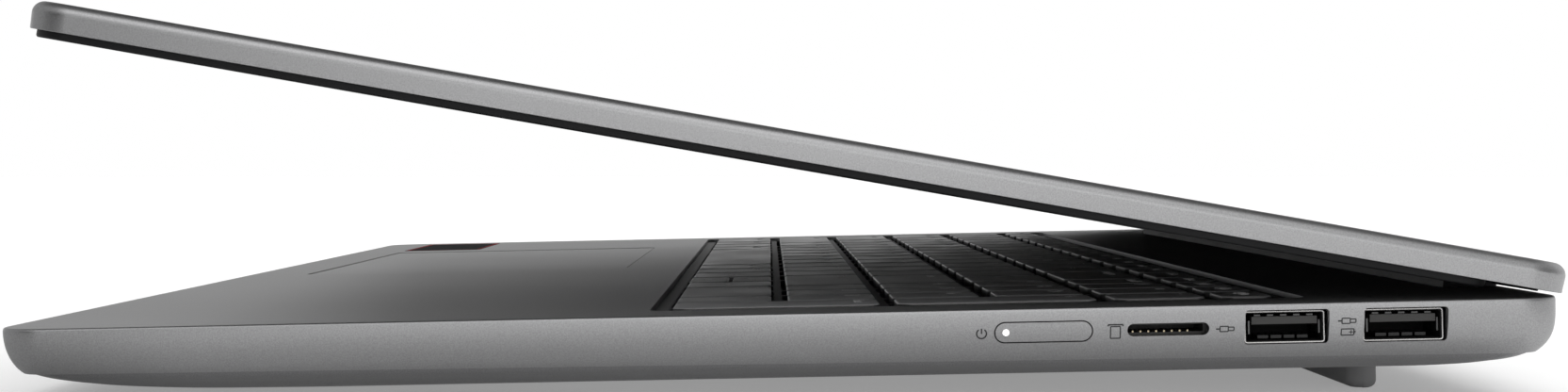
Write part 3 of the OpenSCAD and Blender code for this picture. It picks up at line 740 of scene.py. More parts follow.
# How far a cut goes to both sides of the wall
CUT = 6
KEYBOARD_WIDTH, KEYBOARD_DEPTH, KEYBOARD_MIDDLE = 332, 108, 158
# How much larger the opening around the touchpad is
TOUCH_OPENING = 0.5
# Air slots in the wall of the notch: how many, left side of the first, width, pitch, bottom and top
VENTS, VENT_LEFT, VENT_WIDTH, VENT_PITCH, VENT_LOW, VENT_HIGH = 18, -132, 3, 4.4, -7.6, -4


def port_cutters(s):
    """Everything that opens the case, through the wall on both sides of it."""
    half, z = s.body_width / 2, s.port_height
    bm = bmesh.new()
    for side, middles, w, d, radius, arc in OPENINGS:
        for y in middles:
            slab(w, d, radius, -CUT, CUT, place=sideways(side * half, y, z), arc=arc, bm=bm)
    rod(JACK_RADIUS, -CUT, CUT, sideways(-half, JACK, z), bm=bm)
    slab(KEYBOARD_WIDTH, KEYBOARD_DEPTH, 2.5, -3, 3, y=KEYBOARD_MIDDLE, bm=bm)
    w, d = s.touch_width + TOUCH_OPENING, s.touch_depth + TOUCH_OPENING
    slab(w, d, 1.5, -3, 3, s.touch_x, s.touch_front + s.touch_depth / 2, bm=bm)
    for i in range(VENTS):
        x = VENT_LEFT + VENT_PITCH * i
        block(x, x + VENT_WIDTH, 237, 241, VENT_LOW, VENT_HIGH, bm)
    for side in (-1, 1):
        x = side * s.notch_width / 2
        rod(2, -4, 4, sideways(x, s.hinge_back, s.hinge_height), bm=bm)
    return bm


# The wall around the notch: its inner and its outer face, and its thickness at the sides
NOTCH_INNER, NOTCH_FRONT, NOTCH_WALL = 238.6, 239.75, 1.2
# Edges of openings further out than this are on the side walls, and those above this are on the deck
SIDES, DECK = 171, -0.4


class LAPTOP_OT_case(bpy.types.Operator):
    """Metal case with its deck, side walls and port openings"""

    bl_idname = "laptop.case"
    bl_label = "Case"

    def execute(self, context):
        s = sizes()
        half = s.notch_width / 2
        # The inner space: inset, depth at the front and depth at the rear of each level
        steps = (1.6, s.wall, s.wall), (2.2, 4.6, 5), (4.6, s.parting_front + 1, s.parting_rear + 1)
        inner = prism([base_level(s, i, i, i, low, high, s.corner - i) for i, low, high in steps])
        rib = block(-half - NOTCH_WALL, half + NOTCH_WALL, NOTCH_INNER, 260, -14, 3)
        case = carve(prism(case_levels(s)), carve(inner, rib))
        case = carve(case, block(-half, half, NOTCH_FRONT, 262, -16, 5))
        case = carve(case, port_cutters(s))
        outer = (e for e in cut_edges(case) if abs(e.verts[0].co.x) > SIDES or e.verts[0].co.z > DECK)
        soften(case, outer, 0.14)
        hand_over("case", case, "base", "case_metal", ["top_case"])
        return {"FINISHED"}


# Levels of the bottom cover: insets at the sides, front and rear, depths below the parting line at both ends
COVER = (
    (3.7, 3.9, 3.7, 0.02, 0.02), (4.4, 6, 5, 0.75, 0.65), (5.4, 8.7, 6.6, 1.4, 1.15),
    (6.4, 12, 8.6, 1.95, 1.5), (7.4, 17, 11, 2.55, 1.85), (8.4, 26, 14, 3.1, 2.1),
    (9.6, 36, 18, 3.4, 2.3), (11.5, 53, 23, 3.7, 2.4), (15, 90, 30, 3.9, 2.45),
)
COVER_CORNER = 5
# Thickness of the cover's sides and floor, and where it is solid at the rear
COVER_SIDE, COVER_FLOOR, COVER_SOLID = 1.3, 1.2, 236
# Edges of openings below this are on the underside
UNDERSIDE = -10.55
# Width, depth and corner radius of the air slots and of the speaker slots, and the radius of the screw holes
AIR_SLOT, SPEAKER_SLOT, SCREW_HOLE = (7, 2.2, 1.1), (10, 1.6, 0.8), 1.35
# The middle of each of them
AIR_SLOTS = [(-130 + 9 * i, 158 + 7 * j) for i in range(22) for j in range(7)]
SPEAKER_SLOTS = [(side * 161, 64 + 4 * i) for side in (-1, 1) for i in range(8)]
SCREWS = [(x, y) for x in (-160, 0, 160) for y in (10, 209)] + [(-160, 125), (160, 125)]


def cover_levels(s, extra=0.0, lift=0.0):
    """Levels of the cover, further in and higher if asked, with two smooth steps after each of the table."""
    levels = []
    for i in range(len(COVER) - 1):
        near = (COVER[max(0, min(len(COVER) - 1, i + k))] for k in (-1, 0, 1, 2))
        columns = list(zip(*near))
        for t in (0, 1 / 3, 2 / 3):
            levels.append(
                [
                    b + 0.5 * t * (c - a + t * (2 * a - 5 * b + 4 * c - d + t * (3 * (b - c) + d - a)))
                    for a, b, c, d in columns
                ]
            )
    levels.append(COVER[-1])
    front_depth, rear_depth = s.parting_front - lift, s.parting_rear - lift
    return [
        base_level(
            s, side + extra, front + extra, rear + extra, front_depth + low, rear_depth + high, COVER_CORNER
        )
        for side, front, rear, low, high in levels
    ]


class LAPTOP_OT_cover(bpy.types.Operator):
    """Bottom cover with its air slots, speaker slots and screw holes"""

    bl_idname = "laptop.cover"
    bl_label = "Bottom cover"

    def execute(self, context):
        s = sizes()
        inner = prism(cover_levels(s, COVER_SIDE, COVER_FLOOR))
        rear = block(-200, 200, COVER_SOLID, 260, -20, 5)
        cover = carve(prism(cover_levels(s)), carve(inner, rear))
        half = s.notch_width / 2
        openings = block(-half, half, 240.5, 262, -20, 3)
        for place in AIR_SLOTS:
            slab(*AIR_SLOT, -13, -9, *place, arc=4, bm=openings)
        for place in SPEAKER_SLOTS:
            slab(*SPEAKER_SLOT, -13, -7, *place, arc=4, bm=openings)
        for place in SCREWS:
            rod(SCREW_HOLE, -14, -5, Matrix.Translation((*place, 0)), 24, openings)
        cover = carve(cover, openings)
        below = (e for e in cut_edges(cover) if e.calc_face_angle(0) > 1 and lowest(e, 2) < UNDERSIDE)
        soften(cover, below, 0.15, 1)
        hand_over("bottom_shell", cover, "base", "cover_metal", ["bottom_cover"])
        return {"FINISHED"}


# Feet of each piece: middle across and from the front, width, depth and radius of the lower edge
FRONT_FEET = ((-112, 31, 34, 7, 0.6), (112, 31, 34, 7, 0.6))
REAR_FEET = ((0, 225, 305, 5.4, 1.4),)
# Where the feet end inside the cover
FOOT_TOP = -9.9


class LAPTOP_OT_feet(bpy.types.Operator):
    """Rubber feet with rounded edges, cut level with the table"""

    bl_idname = "laptop.feet"
    bl_label = "Feet"

    def foot(self, bm, x, y, w, d, edge):
        """One foot, w by d about x, y, its lower edge rounded."""
        _, lean, upright, start = deck_place()[2]

        def ground(at):
            return -(lean * at + start) / upright

        levels = []
        for inset, up in quarter(edge, 6):
            front, rear = y - d / 2 + inset, y + d / 2 - inset
            plan = (x - w / 2 + inset, x + w / 2 - inset, front, rear, d / 2 - inset - 0.001)
            levels.append((*plan, ground(front) + up, ground(rear) + up))
        levels.append((*plan, FOOT_TOP, FOOT_TOP))
        prism(levels, arc=10, bm=bm)

    def execute(self, context):
        for name, slot, nodes, feet in (
            ("front_pads", "foot_rubber", ["front_feet"], FRONT_FEET),
            ("rear_strip", "rear_foot_rubber", ["rear_foot"], REAR_FEET),
        ):
            bm = bmesh.new()
            for foot in feet:
                self.foot(bm, *foot)
            hand_over(name, bm, "base", slot, nodes, 50)
        return {"FINISHED"}


# ---- keys ----


# Widths of a letter key and of a function key
LETTER, FUNCTION = 18.6, 16.7


def alike(node, width, *marks):
    """Keys of one group and one width."""
    return [(node, mark, width) for mark in marks]


# Rows from the front, and their keys from the right: node, mark and width. Without a node: up and down arrow
KEY_ROWS = (
    (
        ("right_arrow_key", ">", 17.6), (None, "", LETTER), ("left_arrow_key", "<", LETTER),
        ("modifier_keys", "Ctrl", 17.6), ("modifier_keys", "Alt", 19), ("space_bar", "", 90.5),
        *alike("modifier_keys", 19, "Alt", "", "Fn"), ("modifier_keys", "Ctrl", 27),
    ),
    (
        ("right_shift_key", "Shift", 36.4),
        *alike("lower_letter_keys", LETTER, "?\n/", ">\n.", "<\n,", *"MNBVCXZ"),
        ("left_shift_key", "Shift", 43.5),
    ),
    (
        ("enter_key", "Enter", 29.3),
        *alike("home_letter_keys", LETTER, "\"\n'", ":\n;", *"LKJHGFDSA"),
        ("caps_lock_key", "CapsLk", 32),
    ),
    (
        ("upper_letter_keys", "|\n\\", 20.2),
        *alike("upper_letter_keys", LETTER, "}\n]", "{\n[", *"POIUYTREWQ"),
        ("tab_key", "Tab", 22.5),
    ),
    (
        ("backspace_key", "Backspace", 29.4),
        *alike("number_keys", LETTER, *map("\n".join, zip("+_)(*&^%$#@!", "=-0987654321"))),
        ("number_keys", "~\n`", 13.3),
    ),
    (
        ("function_keys", "Delete", 19.1),
        *alike("function_keys", FUNCTION, "PrtSc", "Insert", *(f"F{n}" for n in range(12, 0, -1))),
        ("function_keys", "Esc", 13),
    ),
)
# Rows of the number pad behind its front one: first column from the right, and marks
PAD_ROWS = (
    (1, "321"), (1, "654"), (1, "987"),
    (0, ("-", "*", "/", "NumLk")), (0, ("PgDn", "PgUp", "End", "Home")),
)
# Keys of the number pad: node, mark, column from the right, row, how many columns and how many rows
PAD_KEYS = (
    ("numpad_enter_key", "Enter", 0, 0, 1, 2), ("numpad_plus_key", "+", 0, 2, 1, 2),
    ("numpad_keys", ".", 1, 0, 1, 1), ("numpad_keys", "0", 2, 0, 2, 1),
    *(
        ("numpad_keys", mark, column, row, 1, 1)
        for row, (first, marks) in enumerate(PAD_ROWS, 1)
        for column, mark in enumerate(marks, first)
    ),
)
# How far the up and down arrows reach past the line between them, before the gap is taken off
ARROW_REACH = 1


def key_plans(s):
    """Every key: node, legend, x0, x1, y0, y1."""
    half, gap = s.body_width / 2, s.key_gap / 2
    rows = [s.keys_front] + [s.keys_front + s.front_row + i * s.row_pitch for i in range(5)]
    rows.append(rows[-1] + s.function_row)
    plans = []

    def add(node, mark, right, left, front, back):
        plans.append((node, mark, half - left + gap, half - right - gap, front + gap, back - gap))

    split = rows[0] + s.front_row / 2
    for row, keys in enumerate(KEY_ROWS):
        right = s.keys_right + 4 * s.pad_pitch
        for node, mark, w in keys:
            left = right + w
            if node:
                add(node, mark, right, left, rows[row], rows[row + 1])
            else:
                add("up_arrow_key", "^", right, left, split - ARROW_REACH, rows[1])
                add("down_arrow_key", "v", right, left, rows[0], split + ARROW_REACH)
            right = left
    for node, mark, column, row, wide, deep in PAD_KEYS:
        right = s.keys_right + column * s.pad_pitch
        add(node, mark, right, right + wide * s.pad_pitch, rows[row], rows[row + deep])
    return plans


# Heights of a cap, and the radius of its corners
KEY_TOP, KEY_BOTTOM, KEY_CORNER = 0.12, -1.6, 1.45
# Its rim, as inset and height, and its dish, as share of the cap and height
KEY_RIM = (
    (0, KEY_BOTTOM), (0, KEY_TOP - 0.3), (0.07, KEY_TOP - 0.11), (0.2, KEY_TOP - 0.02), (0.42, KEY_TOP)
)
KEY_DISH = ((0.45, KEY_TOP - 0.05), (0.8, KEY_TOP - 0.07))
# The bow of its front edge: largest depth, share of the cap, how far from the sides it starts, power
KEY_BOW, BOW_SHARE, BOW_START, BOW_POWER = 1.5, 0.13, 4.5, 2.6


def key_cap(bm, x0, x1, y0, y1):
    """One cap: straight rear edge, bowed front edge, rounded rim and a slight dish."""
    x, y, w, d = (x0 + x1) / 2, (y0 + y1) / 2, (x1 - x0) / 2, (y1 - y0) / 2
    levels = [(x0 + i, x1 - i, y0 + i, y1 - i, KEY_CORNER - i, z, z) for i, z in KEY_RIM]
    for share, z in KEY_DISH:
        levels.append((x0 + share * w, x1 - share * w, y0 + share * d, y1 - share * d, 0.4, z, z))
    before = len(bm.verts)
    prism(levels, arc=6, bm=bm)
    bm.verts.ensure_lookup_table()
    flat = max(0, 1 - BOW_START / w)
    for v in bm.verts[before:]:
        near = min(1, max(0, (y - v.co.y) / d))
        bend = max(0, (abs(v.co.x - x) / w - flat) / (1 - flat))
        v.co.y += near * min(KEY_BOW, BOW_SHARE * 2 * d) * bend**BOW_POWER


class LAPTOP_OT_keys(bpy.types.Operator):
    """All key caps, one piece for each group that presses together"""

    bl_idname = "laptop.keys"
    bl_label = "Keys"

    def execute(self, context):
        groups = {}
        for node, _, *plan in key_plans(sizes()):
            key_cap(groups.setdefault(node, bmesh.new()), *plan)
        for node, bm in groups.items():
            name = node.replace("_keys", "_caps").replace("_key", "_cap").replace("space_bar", "space_cap")
            hand_over(name, bm, node, "key_caps", [node], 50)
        return {"FINISHED"}


def written(text, size):
    """A flat mesh of a legend, with a little thickness."""
    curve = bpy.data.curves.new("legend", "FONT")
    curve.body = text
    curve.size = size
    curve.resolution_u = 2
    curve.extrude = 0.03
    curve.space_line = 1.25
    holder = placed("legend", curve)
    bpy.context.view_layer.update()
    mesh = evaluated(holder)
    bpy.data.objects.remove(holder)
    bpy.data.curves.remove(curve)
    return mesh


def arrow(bm, mark, x, y):
    """A small triangle that points the way of an arrow key."""
    turn = {">": 0, "^": 90, "<": 180, "v": 270}[mark]
    place = Matrix.Translation((x, y, KEY_TOP - 0.01)) @ Matrix.Rotation(math.radians(turn), 4, "Z")
    squeezed = Matrix.Diagonal((1, 0.85, 1, 1)) @ Matrix.Rotation(math.radians(-90), 4, "Z")
    rod(1.1, -0.03, 0.03, place @ squeezed, 3, bm)


class LAPTOP_OT_legends(bpy.types.Operator):
    """Printed marks on the keys"""

    bl_idname = "laptop.legends"
    bl_label = "Key legends"

    def execute(self, context):
        groups, meshes = {}, {}
        for node, mark, x0, x1, y0, y1 in key_plans(sizes()):
            if not mark:
                continue
            bm = groups.setdefault(node, bmesh.new())
            if node.endswith("arrow_key"):
                arrow(bm, mark, (x0 + x1) / 2, (y0 + y1) / 2)
                continue
            small = node == "function_keys"
            inset = 1.5 if small else 1.9
            if mark not in meshes:
                single = 3.5 if "\n" in mark else 4.1
                meshes[mark] = written(mark, 2.8 if small or len(mark) > 3 else single)
            before = len(bm.verts)
            bm.from_mesh(meshes[mark])
            bm.verts.ensure_lookup_table()
            verts = bm.verts[before:]
            left = min(v.co.x for v in verts)
            top = max(v.co.y for v in verts)
            shift = (x0 + inset - left, y1 - inset - 0.3 - top, KEY_TOP - 0.03)
            bmesh.ops.translate(bm, vec=shift, verts=verts)
        for node, bm in groups.items():
            hand_over(node + "_marks", bm, node, "legend_paint")
        for mesh in meshes.values():
            bpy.data.meshes.remove(mesh)
        return {"FINISHED"}


# How much smaller the touchpad's plate is than its place, and the height of its top
TOUCH_TRIM, TOUCH_TOP = 0.4, -0.14


class LAPTOP_OT_touchpad(bpy.types.Operator):
    """Touchpad plate with a fine rounded rim"""

    bl_idname = "laptop.touchpad"
    bl_label = "Touchpad"

    def execute(self, context):
        s = sizes()
        x, y = s.touch_x, s.touch_front + s.touch_depth / 2
        w, d = s.touch_width - TOUCH_TRIM, s.touch_depth - TOUCH_TRIM
        bm = slab(w, d, 1.1, -1.1, TOUCH_TOP, x, y, arc=10)
        soften(bm, [e for e in corners(bm) if lowest(e, 2) > -0.2], 0.08, 3)
        block(x - 50, x + 50, y - 32, y + 32, -2.3, -1.08, bm)
        rod(0.6, -50, 50, sideways(x, y + s.touch_depth / 2 - 1.2, -1.5), bm=bm)
        hand_over("touch_plate", bm, "touchpad", "touch_surface", ["touchpad"])
        return {"FINISHED"}


# ---- ports, button and marks ----


class LAPTOP_OT_ports(bpy.types.Operator):
    """USB shells with their springs and contacts, a near-black lining of painted shade inside each shell, and the
    contacts of the card slot
    """

    bl_idname = "laptop.ports"
    bl_label = "Ports"

    def execute(self, context):
        s = sizes()
        half, z = s.body_width / 2, s.port_height

        def row(bm, middles, w, deep, near, low, high):
            """Blocks of one size, between two depths behind the side wall and two heights at the ports."""
            for y in middles:
                block(half - deep, half - near, y - w / 2, y + w / 2, z + low, z + high, bm)

        shells, springs, shade_liners, blocks = (bmesh.new() for _ in range(4))
        for y in USB_A:
            place = sideways(half - 1.6, y - 0.15, z - 0.06)
            tube = slab(12.85, 5.15, 0.5, -10.1, 0, place=place)
            tube = carve(tube, slab(12.35, 4.65, 0.3, -9.7, 1, place=place))
            # Painted shade: a near-black lining inside the shell, where its bare metal would lie in shade
            shade_lining = slab(12.34, 4.64, 0.3, -9.69, -0.25, place=place)
            shade_lining = carve(shade_lining, slab(12.1, 4.4, 0.2, -9.2, 1, place=place))
            soften(tube, [e for e in corners(tube, 1) if lowest(e, 0) > half - 1.65], 0.1)
            for made, whole in ((tube, shells), (shade_lining, shade_liners)):
                part = meshed("part", made)
                whole.from_mesh(part)
                bpy.data.meshes.remove(part)
            row(springs, [y - 4.2 + 2.1 * i for i in range(5)], 1, 7, 2.9, 1.6, 1.85)
            row(springs, (y - 5.6, y + 5.6), 0.24, 7, 2.6, -1.2, 0.9)
            row(blocks, [y - 3.2 + 2.1 * i for i in range(4)], 1.7, 8, 3.4, -2, -1.5)
        hand_over("usb_shells", shells, "base", "connector_shell", ["usb_a_shells"])
        hand_over("usb_springs", springs, "base", "port_springs")
        hand_over("usb_liners", shade_liners, "base", "port_liner")
        hand_over("usb_inner_blocks", blocks, "base", "connector_plastic")
        contacts = bmesh.new()
        middles = [CARD - 5.2 + 1.25 * i for i in range(8)]
        row(contacts, middles, 0.34, 6.5, 3.1, -0.66, -0.5)
        row(contacts, middles, 0.34, 3.35, 3.05, -0.66, -0.28)
        soften(contacts, contacts.edges, 0.04, 1)
        hand_over("card_contacts", contacts, "base", "contact_gold")
        return {"FINISHED"}


class LAPTOP_OT_button(bpy.types.Operator):
    """Power button, shaped to the wall, with its light"""

    bl_idname = "laptop.button"
    bl_label = "Power button"

    def execute(self, context):
        s = sizes()
        half, z = s.body_width / 2, s.port_height
        pill = slab(15.3, 3.08, 1.54, -3, 2, place=sideways(half, BUTTON, z), arc=14)
        button = carve(pill, prism(case_levels(s)), "INTERSECT")
        button = carve(button, rod(0.55, -5, 5, sideways(half, LED, z), 24))
        rims = (e for e in corners(button) if lowest(e, 0) > half - 2 and e.calc_face_angle(0) < 2)
        soften(button, rims, 0.1)
        hand_over("button", button, "power_button", "button_metal", ["power_button"])
        lens = rod(0.5, -3, -0.42, sideways(half, LED, z), 24)
        soften(lens, [e for e in corners(lens) if lowest(e, 0) > half - 1], 0.15, 3)
        hand_over("power_light", lens, "power_button", "led_lens", ["power_led"])
        return {"FINISHED"}


class Stencil:
    """Thin painted strokes on the side wall, at distances from the front edge and heights."""

    stroke = 0.23

    def __init__(self, s):
        self.s = s
        self.bm = bmesh.new()

    def bar(self, y0, z0, y1, z1, thick=stroke):
        """A stroke between two points."""
        dy, dz = y1 - y0, z1 - z0
        place = (
            Matrix.Translation((0, (y0 + y1) / 2, (z0 + z1) / 2))
            @ Matrix.Rotation(math.atan2(dz, dy), 4, "X")
            @ Matrix.Rotation(math.pi / 2, 4, "Y")
            @ Matrix.Diagonal((thick, math.hypot(dy, dz), 1, 1))
        )
        bmesh.ops.create_grid(self.bm, x_segments=1, y_segments=6, size=0.5, matrix=place)

    def box(self, y0, z0, y1, z1):
        """The outline of a box between two corners, in thinner strokes."""
        for ends in ((y0, z0, y1, z0), (y0, z1, y1, z1), (y0, z0, y0, z1), (y1, z0, y1, z1)):
            self.bar(*ends, 0.19)

    def ring(self, y, z, r, start, end):
        """Part of a ring, between two angles in degrees."""
        ends = [self.bm.verts.new((0, y + r + side * self.stroke / 2, z)) for side in (-1, 1)]
        edge = self.bm.edges.new(ends)
        turn = Matrix.Rotation(math.radians(start), 3, "X")
        bmesh.ops.rotate(self.bm, verts=ends, cent=(0, y, z), matrix=turn)
        bmesh.ops.spin(
            self.bm, geom=[*ends, edge], cent=(0, y, z), axis=(1, 0, 0),
            angle=math.radians(end - start), steps=24, use_merge=False,
        )

    def done(self, name):
        """Lays the strokes on the wall and hands them over."""
        for v in self.bm.verts:
            v.co.x = wall_x(self.s, v.co.y, v.co.z) + 0.012
        bmesh.ops.recalc_face_normals(self.bm, faces=self.bm.faces)
        self.bm.normal_update()
        if sum(f.normal.x for f in self.bm.faces) < 0:
            bmesh.ops.reverse_faces(self.bm, faces=self.bm.faces)
        bmesh.ops.solidify(self.bm, geom=self.bm.faces, thickness=0.02)
        hand_over(name, self.bm, "base", "mark_paint")


class LAPTOP_OT_marks(bpy.types.Operator):
    """Plain pictograms beside the button and the ports"""

    bl_idname = "laptop.marks"
    bl_label = "Port marks"

    def execute(self, context):
        s = sizes()
        power = Stencil(s)
        power.ring(157.3, -3.87, 0.78, 125, 415)
        power.bar(157.3, -3.05, 157.3, -3.9)
        power.done("power_mark")
        card = Stencil(s)
        card.box(177.75, -5.05, 179.3, -3.15)
        card.bar(177.35, -2.85, 179.7, -2.85)
        for y in (177.35, 179.7):
            card.bar(y, -2.85, y, -3.1)
        card.done("card_mark")
        for name, y, z in (("plug_mark_front", 196.2, -3.9), ("plug_mark_rear", 215.5, -3.0)):
            plug = Stencil(s)
            plug.box(y - 1.1, z - 0.42, y + 0.2, z + 0.42)
            plug.box(y + 0.2, z - 0.28, y + 1.1, z + 0.28)
            plug.bar(y - 1.75, z, y - 1.1, z)
            plug.done(name)
        cell = Stencil(s)
        cell.box(214.35, -5.3, 216.35, -4.3)
        cell.bar(216.55, -5.0, 216.55, -4.6, 0.16)
        cell.bar(215.6, -4.8, 216.2, -4.8, 0.15)
        cell.bar(215.9, -5.1, 215.9, -4.5, 0.15)
        cell.done("charge_mark")
        return {"FINISHED"}


# The film: its middle across and from the front, its width and its depth
STICKER = (-144, 25.2, 49, 22.6)


class LAPTOP_OT_sticker(bpy.types.Operator):
    """Plain dark film on the palm rest, with a red border"""

    bl_idname = "laptop.sticker"
    bl_label = "Palm sticker"

    def execute(self, context):
        x, y, w, d = STICKER
        film = slab(w, d, 1.2, 0, 0.06, x, y)
        hand_over("film", film, "base", "sticker_film", ["palm_sticker"])
        line = slab(w - 0.6, d - 0.6, 1, 0.05, 0.075, x, y)
        line = carve(line, slab(w - 2.2, d - 2.2, 0.5, -1, 1, x, y))
        hand_over("film_border", line, "base", "sticker_border")
        return {"FINISHED"}


# ---- the lid ----


def lid_level(s, inset, z):
    """Plan of the closed lid less an inset, at a height above the deck."""
    half = s.body_width / 2
    front, rear = -s.lid_overhang, s.lid_depth - s.lid_overhang
    return (inset - half, half - inset, front + inset, rear - inset, s.corner - inset, z, z)


class LAPTOP_OT_lid(bpy.types.Operator):
    """Metal back of the display"""

    bl_idname = "laptop.lid"
    bl_label = "Lid"

    def execute(self, context):
        s = sizes()
        top = s.lid_gap + s.lid_height
        outer = [lid_level(s, inset, top - drop) for inset, drop in quarter(s.lid_edge, 10)]
        outer.append(lid_level(s, 0.15, s.lid_gap))
        steps = (2.4, top - 1.1), (1.2, top - s.lid_edge - 0.2), (1.2, s.lid_gap - 1)
        lid = carve(prism(outer, arc=12), prism([lid_level(s, *step) for step in steps]))
        soften(lid, [e for e in corners(lid) if highest(e, 2) < s.lid_gap + 0.02], 0.15)
        hand_over("lid_back", lid, "lid", "lid_metal", ["lid_cover"], 40)
        return {"FINISHED"}


# The display frame's inset at the sides and its front edge, the camera's opening and the shutter's bed
BEZEL_INSET, BEZEL_FRONT = 1.6, 0.9
CAMERA_HOLE, CAMERA_MIDDLE = 1.3, 4.1
SHUTTER_BED = (-3, 9, 2.5, 5.7, -1, 0.58)
# The strip along the hinge: its width and depth, and how far it is behind the hinge axis
STRIP_WIDTH, STRIP_DEPTH, STRIP_BACK = 330, 0.85, 3.74


class LAPTOP_OT_bezel(bpy.types.Operator):
    """Display frame with its openings, its seal and the strip along the hinge"""

    bl_idname = "laptop.bezel"
    bl_label = "Display frame"

    def execute(self, context):
        s = sizes()
        half = s.body_width / 2 - BEZEL_INSET
        front, rear = BEZEL_FRONT, s.bezel_rear
        low, high = s.bezel_gap, s.lid_gap + 0.02
        steps = (0, high), (0, low + 0.35), (0.08, low + 0.16), (0.2, low + 0.05), (0.35, low)
        plate = prism([(i - half, half - i, front + i, rear - i, 6 - i, z, z) for i, z in steps], arc=12)
        y = s.window_front + s.window_depth / 2
        window = slab(s.window_width, s.window_depth, 0.6, -1, 4, 0, y)
        rod(CAMERA_HOLE, -1, 4, Matrix.Translation((0, CAMERA_MIDDLE, 0)), bm=window)
        plate = carve(plate, window)

        def band(outside, inside, radius, bottom, top):
            """A strip all around the frame, smaller than it by one number outside and by another inside."""
            w, d, y = 2 * half, rear - front, (front + rear) / 2
            whole = slab(w - outside, d - outside, radius, bottom, top, 0, y, arc=12)
            return carve(whole, slab(w - inside, d - inside, 4.8, -2, 2, 0, y, arc=12))

        plate = carve(plate, band(1, 2.4, 5.5, -1, 0.48))
        plate = carve(plate, block(*SHUTTER_BED))
        hand_over("bezel", plate, "lid", "bezel_plastic", ["display_bezel"])
        seal = band(1.1, 2.3, 5.4, low, 0.47)
        soften(seal, [e for e in corners(seal) if highest(e, 2) < 0.2], 0.15)
        hand_over("seal", seal, "lid", "gasket_rubber", ["bezel_gasket"])
        strip = slab(STRIP_WIDTH, STRIP_DEPTH, 0.4, 1.03, 3, 0, s.hinge_back + STRIP_BACK)
        soften(strip, [e for e in corners(strip) if highest(e, 2) < 1.1], 0.15)
        hand_over("rear_strip_lid", strip, "lid", "gasket_rubber")
        return {"FINISHED"}


# ---- frame nodes that keep their shape ----


class LAPTOP_OT_finishes(bpy.types.Operator):
    """Finishes of the frame's own parts"""

    bl_idname = "laptop.finishes"
    bl_label = "Finishes"

    def execute(self, context):
        for part in frame["record"]["subparts"]:
            node = frame["nodes"][part["node"]]
            if not node.material_slots:
                node.data.materials.append(None)
            for place in node.material_slots:
                place.material = paint(part["material_slot"])
        return {"FINISHED"}


# ---- studio ----


# What the floor gives off by itself: to the camera, and to metal and glass
FLOOR_GLOW, FLOOR_MIRRORED = 0.27, 0.16
# Light of the room: on matt surfaces, in metal away from the panels, and straight to the camera
ROOM_LIGHT, ROOM_MIRRORED, BACKDROP = 0.68, 0.48, 1.0
# Panels that metal and glass mirror: azimuth, rise, where each is full and where it ends, in degrees, and its
# level, below zero for a dark one. The last number, where there is one, squeezes it towards the horizon.
PANELS = (
    (187, 0, 28, 60, 0.66, 5.5),
    (7, 4, 9, 31, 1.35),
    (-40, 0, 17, 40, -0.45),
    (58, 0, 15, 38, -0.3),
    (125, 15, 5, 30, 0.4),
    (0, 54, 12, 28, 1.35),
    (180, 66, 26, 46, -0.36),
)
SUN_LEVEL, SUN_ANGLE, SUN_TURN = 1.5, 55, (-10, -25, 0)
CAMERA_PLACE = (0.509, -0.0024, 0.03802)
LENS, SHIFT_X, SHIFT_Y = 47.95, 0.0095, -0.0195


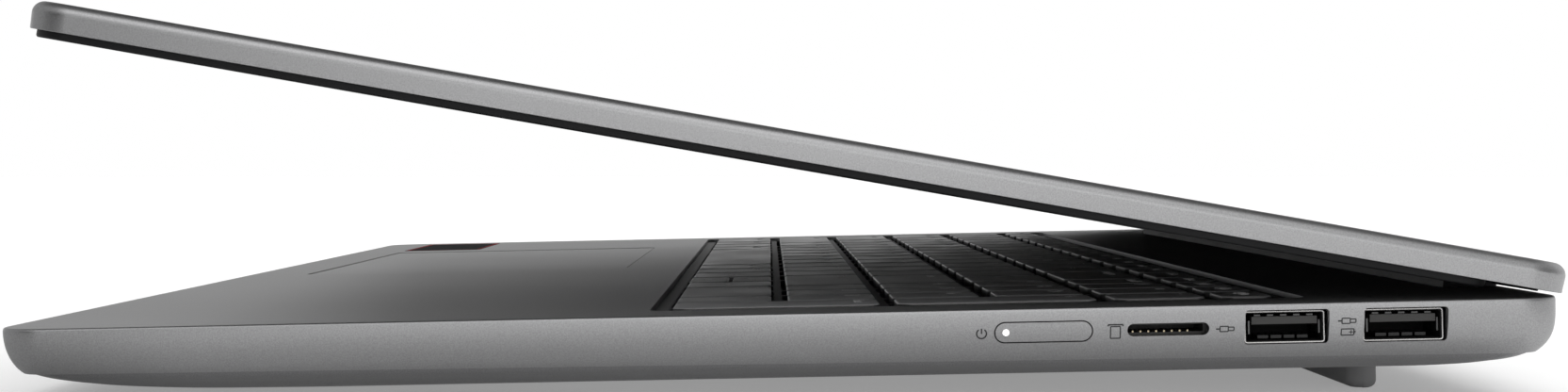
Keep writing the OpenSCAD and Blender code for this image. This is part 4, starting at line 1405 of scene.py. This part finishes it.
class LAPTOP_OT_studio(bpy.types.Operator):
    """Pale floor, soft light and the camera"""

    bl_idname = "laptop.studio"
    bl_label = "Studio"

    def floor(self):
        """A pale floor, with painted shade that only metal and glass show: in them it is darker beside the front
        of the laptop than beside its rear.
        """
        f = Finish("finish_floor")
        mottle = f.mix(f.noise(0.01, 2), *shades(tint("floor"), 0.98, 1.02))
        across, along = (f.along(f.place(), axis) for axis in "XY")
        # Painted shade for metal and glass only: the floor is darker in front of the laptop
        shade = f.ramp(0.01 * (along + 0.25 * across) + 1, (0.25, 0.42), (0.47, 1))
        camera, shiny = f.rays()
        glow = f.mix(camera, f.mix(shiny, grey(0), grey(FLOOR_MIRRORED)), grey(FLOOR_GLOW))
        f.surface(
            base_color=f.mix(shiny, mottle, f.mix(1.0, mottle, shade, "MULTIPLY")),
            roughness=0.9, specular_ior_level=0.1,
            emission_color=glow, emission_strength=1.0,
        )
        bm = bmesh.new()
        bmesh.ops.create_grid(bm, x_segments=1, y_segments=1, size=6)
        floor = placed("floor", meshed("floor", bm))
        floor.data.materials.append(f.material)

    def world(self):
        """An evenly white room. Metal and glass show it dimmer, with the panels."""
        f = Finish("studio", "worlds")
        way = f.node("ShaderNodeTexCoord", out="Generated")

        def vector_math(operation, first, second=(0, 0, 0), out=0):
            values = {0: first, 1: second}
            return f.node("ShaderNodeVectorMath", {"operation": operation}, values, out)

        def panel(azimuth, rise, inner, outer, level, flat=1.0):
            """Light from one direction: full inside one angle and none outside the other."""
            unit = vector_math("NORMALIZE", vector_math("MULTIPLY", way, (1, 1, flat)))
            a, e = math.radians(azimuth), math.radians(rise)
            aim = (math.cos(e) * math.cos(a), math.cos(e) * math.sin(a), math.sin(e))
            facing = vector_math("DOT_PRODUCT", unit, aim, "Value")
            ends = {"From Min": math.cos(math.radians(outer)), "From Max": math.cos(math.radians(inner))}
            values = {"Value": facing, **ends, "To Min": 0.0, "To Max": level}
            return f.node("ShaderNodeMapRange", {"interpolation_type": "SMOOTHSTEP"}, values)

        mirrored = sum((panel(*row) for row in PANELS), start=ROOM_MIRRORED)
        camera, shiny = f.rays()
        light = f.blend(camera, f.blend(shiny, ROOM_LIGHT, mirrored), BACKDROP)
        sky = f.node("ShaderNodeBackground", {}, {"Color": (1, 1, 1, 1), "Strength": light})
        f.node("ShaderNodeOutputWorld", {}, {"Surface": sky})
        bpy.context.scene.world = f.material

    def execute(self, context):
        self.floor()
        self.world()
        sun = bpy.data.lights.new("overhead", "SUN")
        sun.energy, sun.angle = SUN_LEVEL, math.radians(SUN_ANGLE)
        lamp = placed("overhead", sun)
        lamp.rotation_euler = [math.radians(turn) for turn in SUN_TURN]
        lamp.visible_glossy = False
        view = bpy.data.cameras.new("camera")
        view.sensor_width = 36
        view.lens = LENS
        view.shift_x, view.shift_y = SHIFT_X, SHIFT_Y
        view.clip_start, view.clip_end = 0.01, 30
        camera = placed("camera", view)
        camera.location = CAMERA_PLACE
        camera.rotation_euler = (math.pi / 2, 0, math.pi / 2)
        context.scene.camera = camera
        context.scene.view_settings.view_transform = "Standard"
        return {"FINISHED"}


STEPS = (
    LAPTOP_OT_finishes, LAPTOP_OT_case, LAPTOP_OT_cover, LAPTOP_OT_feet, LAPTOP_OT_keys,
    LAPTOP_OT_legends, LAPTOP_OT_touchpad, LAPTOP_OT_ports, LAPTOP_OT_button, LAPTOP_OT_marks,
    LAPTOP_OT_sticker, LAPTOP_OT_lid, LAPTOP_OT_bezel, LAPTOP_OT_studio,
)


class LAPTOP_PT_panel(bpy.types.Panel):
    bl_label = "Laptop"
    bl_idname = "LAPTOP_PT_panel"
    bl_space_type = "VIEW_3D"
    bl_region_type = "UI"
    bl_category = "Laptop"

    def draw(self, context):
        for step in STEPS:
            self.layout.operator(step.bl_idname)
        for group in (context.scene.laptop_sizes, context.scene.laptop_colours):
            for prop in group.bl_rna.properties:
                if prop.type == "FLOAT":
                    self.layout.prop(group, prop.identifier)


CLASSES = (LaptopSizes, LaptopColours, *STEPS, LAPTOP_PT_panel)


def register():
    for cls in CLASSES:
        bpy.utils.register_class(cls)
    bpy.types.Scene.laptop_sizes = bpy.props.PointerProperty(type=LaptopSizes)
    bpy.types.Scene.laptop_colours = bpy.props.PointerProperty(type=LaptopColours)


def unregister():
    del bpy.types.Scene.laptop_colours
    del bpy.types.Scene.laptop_sizes
    for cls in reversed(CLASSES):
        bpy.utils.unregister_class(cls)


def main():
    register()
    for step in STEPS:
        group, name = step.bl_idname.split(".")
        getattr(getattr(bpy.ops, group), name)()


if __name__ == "__main__":
    main()
